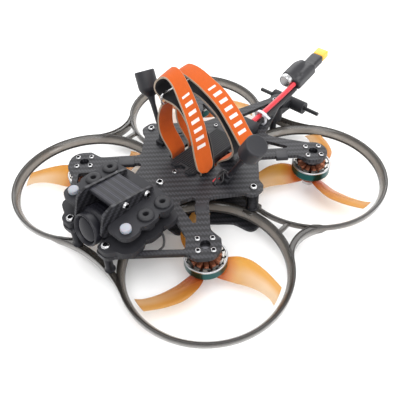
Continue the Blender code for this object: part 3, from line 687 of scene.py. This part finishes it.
def bell(corner):
    """The open bell that turns round the stator, with its magnets, shaft and nut."""
    bm = bmesh.new()
    can = soften([
        (10.9, 16.4), (10.9, 21.2), (11.3, 21.6), (11.7, BELL_RIM - 0.1), (12.3, BELL_RIM - 0.1),
        (BELL_R, BELL_RIM - 0.4), (BELL_R, 21.7), (12.45, 21.5), (12.45, 16.6), (11.6, 15.3),
        (10.8, 15.0), (7.0, 14.5), (4.6, 14.3), (0.0, 14.3),
    ], 0.12)
    lathe(bm, can, 64)
    lathe(bm, [(0.0, 16.4), (10.9, 16.4)], 64)
    for face in bm.faces:
        heights = [vert.co.z / MM for vert in face.verts]
        if min(heights) > 21.55:
            face.material_index = 1
        elif max(heights) > 16.5 and max(vert.co.xy.length / MM for vert in face.verts) < 11.2:
            face.material_index = 2
    magnet = [(11.5, 21.9), (11.5, 17.0), (10.75, 17.0), (10.75, 21.9), (11.5, 21.9)]
    for number in range(MAGNETS):
        lathe(bm, magnet, 4, about("Z", number * 360 / MAGNETS), -9.0, 18.0, 4)
    lathe(bm, [(0.0, 26.6), (2.4, 26.6), (2.4, 3.4), (0.0, 3.4)], 24, material=1)
    nut = [(0.0, 8.4), (3.9, 8.4), (4.4, 7.9), (4.4, 4.9), (3.9, 4.4), (2.4, 4.4)]
    lathe(bm, nut, 6, material=3)
    add_piece(f"motor_bell_{corner}", bm, ["bell_teal", "silver", "dark_alu", "steel", "lamination"],
              at=centre_of(corner), body=f"rotor_{corner}", smooth=30.0, replaces=[f"bell_{corner}"])


# ---- propellers

BLADE_STATIONS = (
    (4.4, 52.0, -26.0), (10.0, 50.0, -12.0), (15.0, 45.5, -5.5), (21.0, 38.5, -2.0),
    (27.0, 30.5, -1.0), (32.0, 22.5, -1.5), (37.0, 15.5, -3.0), (41.0, 10.5, -5.0),
    (PROP_R - 0.15, 7.0, -8.0),
)
BLADE_PITCH = 60.0
BLADE_LIFT = 1.0
BLADE_DROOP = 1.8
HUB_R = 5.6
HUB_HALF = 2.8


def aerofoil(count=9):
    """Points round a thin cambered section: (along, across) from 0 to 1."""
    upper = []
    lower = []
    for index in range(count):
        x = (1 - cos(pi * index / (count - 1))) / 2
        thick = 0.5 * (2.4 * sqrt(x) * (1 - x) ** 0.7) if 0 < x < 1 else 0.0
        camber = 0.55 * 4 * x * (1 - x)
        upper.append((x, camber + thick))
        lower.append((x, camber - thick))
    return upper + lower[-2:0:-1]


def blade(bm, angle, turn):
    """One swept blade. Its UV map holds the place across the blade and the reach along it."""
    section = aerofoil()
    chord = bm.loops.layers.uv.verify()
    rings = []
    stations = smooth_line(BLADE_STATIONS, 26)
    for radius, lead, trail in stations:
        middle = (lead + trail) / 2
        reach = radius / PROP_R
        level = PROP_Z + BLADE_LIFT * min(1.0, 2 * reach) - BLADE_DROOP * reach ** 3
        thick = 1.15 - 0.6 * reach
        ring = []
        for along, across in section:
            offset = lead + (trail - lead) * along
            theta = radians(angle + turn * offset)
            slope = BLADE_PITCH / (2 * pi * max(radius, 20.0))
            height = level + radius * radians(offset - middle) * slope + (across - 0.3) * thick
            ring.append(bm.verts.new(mm((radius * cos(theta), radius * sin(theta), height))))
        rings.append(ring)
    for step, (one, two) in enumerate(zip(rings, rings[1:])):
        near = stations[step][0] / PROP_R
        far = stations[step + 1][0] / PROP_R
        for index in range(len(section)):
            following = (index + 1) % len(section)
            face = bm.faces.new((one[index], two[index], two[following], one[following]))
            here = section[index][0]
            there = section[following][0]
            spots = ((here, near), (here, far), (there, far), (there, near))
            for loop, spot in zip(face.loops, spots):
                loop[chord].uv = spot
    bm.faces.new(rings[0])
    bm.faces.new(rings[-1][::-1])


def propeller(corner):
    """Three blades on a ring hub. Neighbouring propellers turn opposite ways."""
    angle, turn = ROTORS[corner]
    bm = bmesh.new()
    for number in range(3):
        blade(bm, angle + 120.0 * number, turn)
    high = PROP_Z + HUB_HALF
    low = PROP_Z - HUB_HALF
    hub = soften([(2.6, high), (HUB_R, high), (HUB_R, low), (2.6, low), (2.6, high)], 0.5)
    lathe(bm, hub, 40)
    add_piece(f"prop_{corner}", bm, "prop_amber", at=centre_of(corner), body=f"rotor_{corner}",
              replaces=[f"propeller_{corner}"])


# ---- screws

def screw(bm, centre, radius, axis=(0, 0, 1), height=1.3):
    """A socket-head screw: a low domed rim round a hexagonal recess."""
    matrix = move(*centre) @ Vector(axis).to_track_quat("Z", "Y").to_matrix().to_4x4()
    rim = radius * 0.6
    head = [
        (radius * 0.96, 0.0), (radius, height * 0.35), (radius * 0.9, height * 0.75),
        (radius * 0.7, height), (rim, height),
    ]
    lathe(bm, head, 24, matrix)
    lathe(bm, [(rim, height * 0.98), (rim, height * 0.3), (0.0, height * 0.3)], 6, matrix, material=1)
    lathe(bm, [(rim * 1.02, height), (rim * 0.98, height * 0.9)], 24, matrix)


CAGE_X = 11.8
CAGE_SCREWS = ((-71.9, 50.2, 2.3, 1.9), (-56.4, 47.6, 2.3, 1.9), (-71.8, 40.6, 2.1, 1.7))


def screws():
    """All the fasteners that show, in one piece."""
    bm = bmesh.new()
    for side, end in CORNERS.values():
        for dx, dy in ((6, 0), (-6, 0), (0, 6), (0, -6)):
            screw(bm, (side * MOTOR + dx, end * MOTOR + dy, PLATE_TOP), 1.75, height=0.9)
    for side in (1, -1):
        screw(bm, (side * EAR_X, 0.0, PLATE_TOP), 2.4, height=1.5)
        screw(bm, (side * 15.3, -91.2, 36.0), 2.6, height=1.6)
        for y, z, radius, height in CAGE_SCREWS:
            screw(bm, (side * CAGE_X, y, z), radius, (side, 0, 0), height)
    screw(bm, (-1.2, -34.5, PLATE_TOP), 2.6, height=1.6)
    screw(bm, (-1.1, -21.8, PLATE_TOP), 1.7)
    screw(bm, (0.0, TAIL_Y, PLATE_TOP), 2.3, height=1.5)
    screw(bm, (-12.8, 31.2, PLATE_TOP), 1.6)
    add_piece("screws", bm, ["steel", "black_metal"], smooth=35.0)


# ---- nose

CAMERA_PIVOT = (0.0, -76.5, 40.2)
CAMERA_TILT = 15.0
CAMERA_DROP = -5.8  # from the pivot to the lens axis
CAMERA_R = 9.3
DOME_R = 7.9


def camera_case():
    """The camera's round-shouldered body and its barrel, on their tilted pivot."""
    pose = move(*CAMERA_PIVOT) @ about("X", -CAMERA_TILT)
    bm = bmesh.new()
    low = CAMERA_DROP - CAMERA_R
    high = CAMERA_DROP + CAMERA_R
    cuboid(bm, (-9.5, -10.6, low), (9.5, 4.2, high), pose, 3.6, 6)
    for number in range(4):
        y = -6.4 + 2.4 * number
        cuboid(bm, (-6.4, y - 0.4, high - 0.3), (6.4, y + 0.4, high + 0.25), pose, 0.15)
    add_piece("camera_case", bm, "lens_black", "black_tpu", body="camera", replaces=["camera_body"])

    forward = pose @ move(0.0, -15.5, CAMERA_DROP) @ about("X", 90)
    bm = bmesh.new()
    hood = soften([
        (0.0, -2.0), (DOME_R, -2.0), (8.3, -0.7), (8.8, 0.0), (9.2, 0.0), (9.75, -0.7), (9.75, -4.6),
        (9.0, -5.6), (0.0, -5.6),
    ], 0.3)
    lathe(bm, hood, 64, forward)
    dome = []
    for step in range(10, 0, -1):
        angle = radians(9 * step)
        dome.append((DOME_R * sin(angle), -1.9 + 1.5 * cos(angle)))
    lathe(bm, [*dome, (0.0, -0.4)], 48, forward, material=1)
    add_piece("camera_barrel", bm, ["lens_black", "lens_glass"], body="camera", smooth=35.0,
              replaces=["camera_lens"])


def nose():
    """Dampers and pins, finer than the CAD solids they stand for."""
    bobbin = soften([
        (0.0, 43.6), (1.4, 43.6), (1.5, 46.6), (2.0, 47.0), (3.7, 47.0), (4.6, 46.5), (4.9, 45.5),
        (2.4, 45.4), (2.4, 42.0), (4.2, 41.0), (4.6, 39.4), (4.3, 37.4), (3.4, 36.4), (0.0, 36.4),
    ], 0.3)
    pin = soften([(0.0, 48.2), (2.6, 48.2), (3.1, 47.7), (3.15, 45.5), (0.0, 45.5)], 0.35)
    for name, side in (("left", 1), ("right", -1)):
        x = side * DAMPER_X
        for row, y in (("rear", -54.0), ("front", -66.7)):
            turned_piece(f"bobbin_{row}_{name}", bobbin, (x, y, 0.0), "rubber", f"damper_{row}_{name}")
        turned_piece(f"pin_{name}", pin, (x, -81.0, 0.0), "pin_white", f"damper_pin_{name}")


# ---- posts

POST_R = 3.7


def ribbed():
    """The upper part of a side post, with shallow grooves round it."""
    groove = POST_R - 0.35
    points = [(0.0, POST_TOP), (POST_R - 0.4, POST_TOP), (POST_R, POST_TOP - 0.4)]
    level = POST_TOP - 1.6
    while level > POST_FOOT + 2.4:
        points += [(POST_R, level), (groove, level - 0.25), (groove, level - 0.65), (POST_R, level - 0.9)]
        level -= 1.5
    return points


def posts():
    """The turned posts between the plates and down to the guard."""
    foot = [(4.2, 15.8), (4.2, POST_FOOT), (1.5, POST_FOOT), (1.5, BASE_TOP), (0.0, BASE_TOP)]
    ear = [*ribbed(), (POST_R, 16.4), *foot]
    front = soften([
        (0.0, POST_TOP), (2.4, POST_TOP), (2.4, 18.0), (2.8, 16.4), (3.3, 15.8), (3.3, POST_FOOT),
        (0.0, POST_FOOT),
    ], 0.25)
    for name, side in (("left", 1), ("right", -1)):
        turned_piece(f"ear_post_{name}", ear, (side * EAR_X, 0.0, 0.0), "black_metal", f"side_post_{name}")
        centre = (side * 14.5, -91.3, 0.0)
        turned_piece(f"nose_post_{name}", front, centre, "black_metal", f"front_post_{name}")
    tail = soften([(0.0, POST_TOP), (2.5, POST_TOP), (2.5, BASE_TOP), (0.0, BASE_TOP)], 0.3)
    turned_piece("tail_post", tail, (0.0, TAIL_Y, 0.0), "black_metal", "rear_post")


# ---- antennas

def antennas():
    """Two video antennas, each a drum on a stalk, leaning out of its socket on the plate."""
    top = 46.6
    cap = soften([
        (0.0, top), (6.0, top), (6.6, top - 0.6), (6.6, top - 11.0), (5.8, top - 13.0),
        (4.2, top - 14.8), (2.6, top - 16.6), (2.0, top - 19.5), (1.7, top - 22.0), (1.5, top - 30.0),
        (1.5, 5.0), (2.2, 4.6), (2.2, 0.6), (1.6, 0.0), (0.0, 0.0),
    ], 0.3)
    leans = {"left": (1, (23.5, -3.6, 40.4)), "right": (-1, (-23.0, 9.3, 39.9))}
    for name, (side, lean) in leans.items():
        x = side * ANTENNA_X
        turned_piece(f"lollipop_{name}", cap, (x, -5.0, 33.6), "sleeve", f"video_antenna_{name}",
                     "black_tpu", 48, lean)
        bm = bmesh.new()
        cuboid(bm, (x - 3.4, -8.8, PLATE_TOP + 0.05), (x + 3.0, -1.2, PLATE_TOP + 2.6), bevel=0.5)
        cuboid(bm, (x - 2.2, -7.4, PLATE_TOP + 2.4), (x + 2.2, -2.6, PLATE_TOP + 3.8), bevel=0.6)
        add_piece(f"antenna_socket_{name}", bm, "black_tpu")


# ---- straps

# Its edges in Y, its route in X and Z, its tail's yaw and sway (where the tail begins, and at
# its end), the radius of its end corners, and a shift of its grip bars in widths.
Strap = namedtuple("Strap", "front rear route yaw sway corner marks")
STRAP_LOOP = (
    (-17.6, 70.4), (-20.4, 65.0), (-22.2, 57.6), (-22.4, 50.0), (-20.4, 44.4), (-16.6, 39.6),
    (-13.2, 35.0), (-12.8, 31.0), (-11.4, 27.2), (0.0, 26.4), (11.4, 27.2), (12.8, 31.0),
)
FRONT_ROUTE = (
    *STRAP_LOOP, (12.6, 38.0), (11.2, 46.0), (8.6, 54.6), (5.2, 62.0), (1.2, 68.6), (-3.2, 73.2),
    (-8.6, 75.2), (-15.8, 75.2), (-20.6, 76.4), (-23.2, 79.4), (-22.8, 83.8), (-19.4, 88.2),
    (-14.4, 90.2), (-9.8, 88.4), (-5.4, 83.8), (-1.0, 77.8), (3.6, 71.0), (7.8, 62.8), (10.6, 54.2),
    (12.8, 46.0), (15.6, 36.4), (16.2, 34.9),
)
REAR_ROUTE = (
    *STRAP_LOOP, (16.4, 35.0), (22.6, 41.0), (25.0, 46.8), (23.0, 53.6), (18.6, 60.6), (13.2, 66.8),
    (6.8, 71.4), (0.0, 74.4), (-8.0, 75.6), (-15.8, 75.2), (-20.6, 76.6), (-22.8, 80.4),
    (-20.4, 84.0), (-14.4, 85.0), (-7.0, 83.6), (0.0, 81.0),
    (8.0, 77.2), (14.6, 72.4), (21.0, 66.0), (27.0, 58.6), (32.6, 52.4),
)
STRAPS = {
    "front": Strap(-12.5, -0.5, FRONT_ROUTE, (-16.0, 10.0), (1.5, -4.2), 5.6, 0.0),
    "rear": Strap(3.4, 15.4, REAR_ROUTE, (-8.0, 4.0), (0.0, 0.0), 1.0, 0.75),
}
WEB_T = 1.15
WEB_COLUMNS = 9
WEB_ROWS = 170
TAIL_FROM = 0.62  # the share of a strap's length where its free tail begins


def eased(value):
    """From 0 to 1, starting and ending gently."""
    value = max(0.0, min(1.0, value))
    return value * value * (3 - 2 * value)


def strap_row(bm, data, here, normal, travelled, length):
    """The pairs of points across the webbing at one place along it."""
    width = data.rear - data.front
    loose = eased((travelled / length - TAIL_FROM) / (1 - TAIL_FROM))
    begun = eased((travelled / length - TAIL_FROM) / 0.08)
    swing = radians(data.yaw[0] * begun * (1 - loose) + data.yaw[1] * loose)
    sway = data.sway[0] * begun * (1 - loose) + data.sway[1] * loose
    left = length - travelled
    narrow = 0.0
    if left < data.corner:
        narrow = data.corner - sqrt(max(0.0, data.corner ** 2 - (data.corner - left) ** 2))
    row = []
    for column in range(WEB_COLUMNS):
        share = column / (WEB_COLUMNS - 1)
        offset = (share - 0.5) * (width - 2 * narrow)
        crown = 0.22 * (1 - (2 * share - 1) ** 2)
        ripple = 0.10 * sin(travelled * 0.35 + 3 * share)
        x = here.x + offset * sin(swing)
        y = (data.front + data.rear) / 2 + sway + offset * cos(swing)
        pair = []
        for side in (1, -1):
            shift = side * WEB_T / 2 + crown + ripple
            pair.append(bm.verts.new(mm((x + normal.x * shift, y, here.y + normal.y * shift))))
        row.append(pair)
    return row


def strap(name):
    """One strip of webbing, orange on one face and black on the other, with pale edges.

    Its free tail yaws and sways a little, as limp webbing does.
    """
    data = STRAPS[name]
    width = data.rear - data.front
    line = smooth_line(data.route, WEB_ROWS)
    steps = distances(line)
    length = steps[-1]
    bm = bmesh.new()
    uv_layer = bm.loops.layers.uv.new("strip")
    rows = []
    for index, here in enumerate(line):
        tangent = (line[min(index + 1, len(line) - 1)] - line[max(index - 1, 0)]).normalized()
        normal = Vector((-tangent.y, tangent.x))
        v = (length - steps[index]) / width + data.marks
        rows.append((strap_row(bm, data, here, normal, steps[index], length), v))
    for (one, v_one), (two, v_two) in zip(rows, rows[1:]):
        for column in range(WEB_COLUMNS - 1):
            after = column + 1
            u_one = column / (WEB_COLUMNS - 1)
            u_two = after / (WEB_COLUMNS - 1)
            spots = ((u_one, v_one), (u_two, v_one), (u_two, v_two), (u_one, v_two))
            for side in (0, 1):
                edge = (one[column][side], one[after][side], two[after][side], two[column][side])
                face = bm.faces.new(edge)
                face.material_index = side
                for loop, spot in zip(face.loops, spots):
                    loop[uv_layer].uv = spot
        for column in (0, WEB_COLUMNS - 1):
            edge = (one[column][0], one[column][1], two[column][1], two[column][0])
            bm.faces.new(edge).material_index = 2
    for row, _ in (rows[0], rows[-1]):
        for one, two in zip(row, row[1:]):
            bm.faces.new((one[0], two[0], two[1], one[1])).material_index = 2
    obj = add_piece(f"webbing_{name}", bm, ["web_orange", "web_black", "web_edge"], "strap_orange",
                    smooth=60.0, replaces=[f"strap_{name}"])


PAD_HALF = ((1.6, -14.8), (4.4, -18.2), (7.6, -18.2), (10.2, -15.0), (10.2, 29.0), (9.2, 30.0))


def battery_pad():
    """A grip pad with fine moulded ribs, notched round a screw at its nose end."""
    low = PLATE_TOP + 0.3
    bm = bmesh.new()
    outline = [*PAD_HALF, *[(-x, y) for x, y in reversed(PAD_HALF)]]
    base = bm.faces.new([bm.verts.new(mm((x, y, low))) for x, y in outline])
    raised = bmesh.ops.extrude_face_region(bm, geom=[base])["geom"]
    top = [item for item in raised if isinstance(item, bmesh.types.BMVert)]
    bmesh.ops.translate(bm, vec=(0.0, 0.0, 1.1 * MM), verts=top)
    edges = [edge for edge in bm.edges if all(vert in top for vert in edge.verts)]
    bmesh.ops.bevel(bm, geom=edges, offset=0.35 * MM, segments=2, affect="EDGES")
    for number in range(13):
        x = -9.0 + 1.5 * number
        front = -13.0 if abs(x) < 3.2 else -17.0 if abs(x) < 8.2 else -14.6
        cuboid(bm, (x - 0.42, front, low + 0.9), (x + 0.42, 28.4, low + 1.6), bevel=0.2)
    add_piece("grip_pad", bm, "rubber", replaces=["battery_pad"])


# ---- battery lead

RED_ROUTE = (
    (7.4, 46.0, 37.2), (7.2, 60.0, 38.2), (6.8, 70.0, 38.9), (6.4, 80.0, 39.8),
    (6.2, 88.0, 40.8), (6.2, 95.3, 42.1),
)
BLACK_ROUTE = (
    (9.6, 46.0, 34.2), (9.0, 60.0, 34.8), (8.6, 70.0, 35.6), (8.0, 80.0, 36.4),
    (7.8, 88.0, 37.4), (7.6, 95.3, 38.7),
)
LEAD_R = 1.7
LEAD_STEPS = 36
LEAD_RISE = 12.7  # degrees that the sleeve and the connector point up
LEAD_END = (4.0, 95.8, 41.4)


def shrink_sleeve(frame_at, can_at):
    """The shrunk sleeve, melted into one skin over the wires and the capacitor."""
    bm = bmesh.new()
    cuboid(bm, (-3.2, 0.0, -4.4), (6.2, 22.0, 4.0), frame_at, 1.9, 4)
    cuboid(bm, (-4.7, 19.0, -3.2), (4.7, 33.0, 3.2), frame_at, 1.2, 3)
    over_can = soften([
        (0.0, 21.0), (3.2, 20.0), (5.0, 15.0), (5.4, 12.0), (5.4, 0.3), (4.9, 0.0), (0.0, 0.0),
    ], 0.9)
    lathe(bm, over_can, 36, can_at)
    cuboid(bm, (-6.0, 6.0, -3.0), (5.4, 21.0, 5.2), frame_at, 2.4, 4)
    sleeve = new_piece("shrink_sleeve", bm)
    remesh = sleeve.modifiers.new("melt", "REMESH")
    remesh.mode = "VOXEL"
    remesh.voxel_size = 0.55 * MM
    relax = sleeve.modifiers.new("relax", "SMOOTH")
    relax.factor = 0.6
    relax.iterations = 9
    apply_modifiers(sleeve)
    finish_piece(sleeve, "heat_shrink", smooth=180.0, replaces=["connector_boot"])
    return sleeve


def capacitor_can(can_at):
    """The bare crimped end of the capacitor."""
    bm = bmesh.new()
    end = soften([
        (4.8, 0.4), (4.8, -2.4), (4.5, -2.7), (4.7, -3.0), (4.4, -3.5), (3.9, -3.3), (0.0, -3.3),
    ], 0.15)
    lathe(bm, end, 36, can_at)
    return add_piece("capacitor_can", bm, "steel", replaces=["capacitor"])


def lead_plug(frame_at, along):
    """The two-pin connector."""
    bm = bmesh.new()
    cuboid(bm, (-4.4, 33.0, -2.7), (4.4, 40.0, 2.7), frame_at, 0.7, 3)
    for x in (-2.2, 2.2):
        pin = [(1.7, 6.6), (1.7, 7.6), (1.1, 7.6), (1.1, 5.0), (0.0, 5.0)]
        lathe(bm, pin, 20, frame_at @ move(x, 33.0, 0.0) @ along)
    return add_piece("lead_plug", bm, "connector_yellow", replaces=["battery_connector"])


def battery_wire(colour, route):
    """One thick wire from the clamp into the sleeve."""
    line = smooth_line(route, LEAD_STEPS)
    wire = pipe(f"battery_wire_{colour}", line, LEAD_R)
    finish_piece(wire, f"wire_{colour}", replaces=[f"lead_{colour}"])


def battery_lead():
    """The wires, the capacitor, the shrunk sleeve round them and the connector."""
    frame_at = move(*LEAD_END) @ about("X", LEAD_RISE)
    along = about("X", -90)
    can_at = frame_at @ move(-4.0, 0.0, 2.4) @ along
    sleeve = shrink_sleeve(frame_at, can_at)
    can = capacitor_can(can_at)
    plug = lead_plug(frame_at, along)
    battery_wire("red", RED_ROUTE)
    battery_wire("black", BLACK_ROUTE)


def apply_modifiers(obj):
    graph = bpy.context.evaluated_depsgraph_get()
    mesh = bpy.data.meshes.new_from_object(obj.evaluated_get(graph))
    obj.modifiers.clear()
    obj.data = mesh


TIE_Y = 54.0


def clamp_and_ties():
    """The clamp that holds the battery wires, and the zip tie round them."""
    bm = bmesh.new()
    cuboid(bm, (0.6, 36.0, PLATE_TOP + 0.3), (13.6, 45.6, 39.6), bevel=1.6, segments=3)
    cuboid(bm, (2.2, 35.4, 34.0), (12.0, 45.2, 38.2), bevel=0.6)
    add_piece("clamp_block", bm, "black_tpu", replaces=["lead_clamp"])
    bm = bmesh.new()
    belt = [(5.4, TIE_Y, 32.6), (5.2, TIE_Y, 40.4), (11.4, TIE_Y, 40.2), (11.8, TIE_Y, 32.6)]
    line = smooth_line([*belt, belt[0]], 40)
    along_y = Vector((0.0, 1.0, 0.0))
    frames = []
    for here, after in zip(line, line[1:]):
        frames.append((here * MM, along_y, (after - here).normalized().cross(along_y)))
    closed_sweep(bm, frames, ((-1.1, -0.3), (1.1, -0.3), (1.1, 0.3), (-1.1, 0.3)), True)
    cuboid(bm, (9.8, TIE_Y - 1.4, 38.6), (12.6, TIE_Y + 1.4, 40.8), bevel=0.5)
    tail = move(12.4, TIE_Y, 39.8) @ about("Y", 20)
    cuboid(bm, (0.0, -1.0, -0.3), (3.4, 1.0, 0.3), tail, 0.12)
    add_piece("lead_tie", bm, "tie_white", "pin_white")


# ---- small wiring

COAX = ((27.8, 2.0, 33.4), (24.0, 9.0, 33.6), (20.0, 16.0, 33.2), (17.0, 24.0, 31.0))
SMALL_WIRES = (
    ("camera_lead", "wire_black", 0.65,
     ((27.0, -62.6, 34.0), (31.6, -63.8, 32.6), (35.0, -67.4, 30.6), (35.4, -71.4, 30.4))),
    ("red_lead", "wire_red", 0.6, ((23.2, -12.8, 32.6), (23.8, -10.8, 34.0), (24.6, -8.6, 33.6))),
    ("dark_lead", "wire_black", 0.55,
     ((24.2, -13.4, 32.6), (25.0, -10.4, 35.4), (26.0, -6.8, 36.6), (27.2, -3.6, 34.2))),
    ("dark_arch", "wire_black", 0.55,
     ((25.6, -14.0, 32.6), (23.8, -8.4, 36.0), (25.8, -5.0, 38.4), (29.0, -4.4, 35.0),
      (29.4, -7.0, 32.8))),
    ("dark_loop", "wire_black", 0.5,
     ((23.0, -6.0, 32.8), (23.6, -4.0, 36.2), (26.8, -7.2, 37.6), (28.4, -9.8, 34.6),
      (27.4, -11.6, 32.8))),
    ("coax_left", "wire_black", 0.6, COAX),
    ("coax_right", "wire_black", 0.6, tuple((-x, y, z) for x, y, z in COAX)),
    ("receiver_lead", "wire_black", 0.6,
     ((2.0, 44.0, 26.0), (1.6, 58.0, 27.0), (0.8, 74.0, 27.2), (5.0, 84.0, 26.0), (5.6, 92.0, 23.0),
      (3.0, 98.0, 22.0))),
)


def wires():
    """Thin leads that show between the plates and on top of them."""
    for name, material, radius, route in SMALL_WIRES:
        finish_piece(pipe(name, smooth_line(route, 6 * len(route)), radius), material)


WRAPS = (  # x, y, degrees about Z, length
    (-32.4, -34.2, 45.0, 11.0), (32.0, -33.4, -45.0, 6.8),
    (39.0, 36.4, 45.0, 8.0), (-36.4, 39.0, -45.0, 8.0),
)


def sleeves():
    """Smooth wraps that hold the motor wires under the arms."""
    bm = bmesh.new()
    for x, y, turn, length in WRAPS:
        half = length / 2
        cuboid(bm, (-half, -3.7, -1.5), (half, 3.7, 1.55), move(x, y, 30.7) @ about("Z", turn), 0.7, 3)
    add_piece("arm_wraps", bm, "sleeve", "heat_shrink")


STACK_HALF = 15.0  # the boards' screws, from the middle
BOARD_TOP = 21.3
CHIP_TOP = 22.2  # the lowest chip
SOCKETS = ((-16.5, -4.0, 2.6, 8.0), (14.0, -4.0, 2.6, 8.0), (-4.0, 14.6, 8.0, 2.6))


def electronics():
    """Small parts on the boards, seen through the plate's openings and from the sides."""
    bm = bmesh.new()
    spacer = soften([(0.0, POST_TOP), (2.2, POST_TOP), (2.2, 21.7), (0.0, 21.7)], 0.3)
    for side in (-1, 1):
        for end in (-1, 1):
            lathe(bm, spacer, 16, move(side * STACK_HALF, end * STACK_HALF, 0.0), material=1)
    for _ in range(14):
        x = random.uniform(-13, 10)
        y = random.uniform(-13, 10)
        w = random.uniform(1.6, 4.6)
        d = random.uniform(1.6, 4.6)
        cuboid(bm, (x, y, BOARD_TOP), (x + w, y + d, CHIP_TOP + random.random()), bevel=0.15)
    for x, y, w, d in SOCKETS:
        cuboid(bm, (x, y, BOARD_TOP), (x + w, y + d, 24.0), bevel=0.3, material=2)
    add_piece("board_parts", bm, ["rubber", "black_metal", "tie_white"], "circuit")


# ---- CAD nodes

CAD_FINISH = {
    "carbon": ("main_plate", "base_plate"),
    "carbon_side": ("camera_side_plate_left", "camera_side_plate_right"),
    "black_tpu": ("lower_camera_deck", "upper_camera_deck", "tail_mount"),
    "cover_print": ("camera_cage_cover",),
    "wire_black": ("rc_antenna",),
    "steel": ("buckle_front", "buckle_rear"),
    "circuit": ("flight_controller", "receiver_board"),
    "dark_alu": ("video_transmitter",),
}


def paint_frame():
    """Materials for the CAD solids that are shown as they are."""
    for material, names in CAD_FINISH.items():
        for name in names:
            for slot in NODES[name].material_slots:
                slot.material = MAT[material]


# ---- stage

CAMERA_AT = (174.94, -183.27, 247.55)  # matched to the photograph on the four guard rings
VIEW_AZIMUTH = 43.773
VIEW_ELEVATION = 45.291
VIEW_ROLL = -1.983
LENS_MM = 46.02


def camera():
    """The photograph's camera."""
    data = bpy.data.cameras.new("camera")
    data.lens = LENS_MM
    data.sensor_width = 36.0
    data.clip_start = 0.01
    obj = new_object("camera", data)
    turn = about("Z", VIEW_AZIMUTH) @ about("X", 90 - VIEW_ELEVATION) @ about("Z", VIEW_ROLL)
    obj.matrix_world = move(*CAMERA_AT) @ turn
    bpy.context.scene.camera = obj


def area_light(name, position, size, power):
    """A square white light, aimed at the object; its place and size are in metres."""
    data = bpy.data.lights.new(name, "AREA")
    data.shape = "SQUARE"
    data.size = size
    data.energy = power
    obj = new_object(name, data)
    obj.location = position
    aim = Vector((0.0, 0.0, 0.02)) - Vector(position)
    obj.rotation_euler = aim.to_track_quat("-Z", "Y").to_euler()


def studio():
    """White floor and white surroundings, with soft lights from above."""
    bm = bmesh.new()
    bmesh.ops.create_grid(bm, x_segments=1, y_segments=1, size=3.0)
    floor = new_piece("floor", bm, (0.0, 0.0, -0.2))
    look = Look("floor_paper")
    tone = look.mix(look.noise(3.0), (0.95, 0.95, 0.95), (0.97, 0.97, 0.97))
    look.shade(Base_Color=tone, Roughness=0.9)
    floor.data.materials.append(MAT["floor_paper"])
    world = bpy.data.worlds.new("studio")
    world.use_nodes = True
    sky = world.node_tree.nodes["Background"]
    sky.inputs["Color"].default_value = (1.0, 1.0, 1.0, 1.0)
    sky.inputs["Strength"].default_value = 0.95
    bpy.context.scene.world = world
    bpy.context.scene.view_settings.view_transform = "Standard"
    area_light("key", (0.35, -0.30, 0.95), 0.9, 7.5)
    area_light("back", (-0.55, 0.60, 0.70), 0.9, 7.0)
    area_light("side", (0.95, 0.25, 0.45), 0.6, 3.0)


# ---- build

guard()
for corner_name in CORNERS:
    stator(corner_name)
    bell(corner_name)
    propeller(corner_name)
screws()
camera_case()
nose()
posts()
antennas()
for strap_name in STRAPS:
    strap(strap_name)
battery_pad()
battery_lead()
clamp_and_ties()
wires()
sleeves()
electronics()
paint_frame()
camera()
studio()
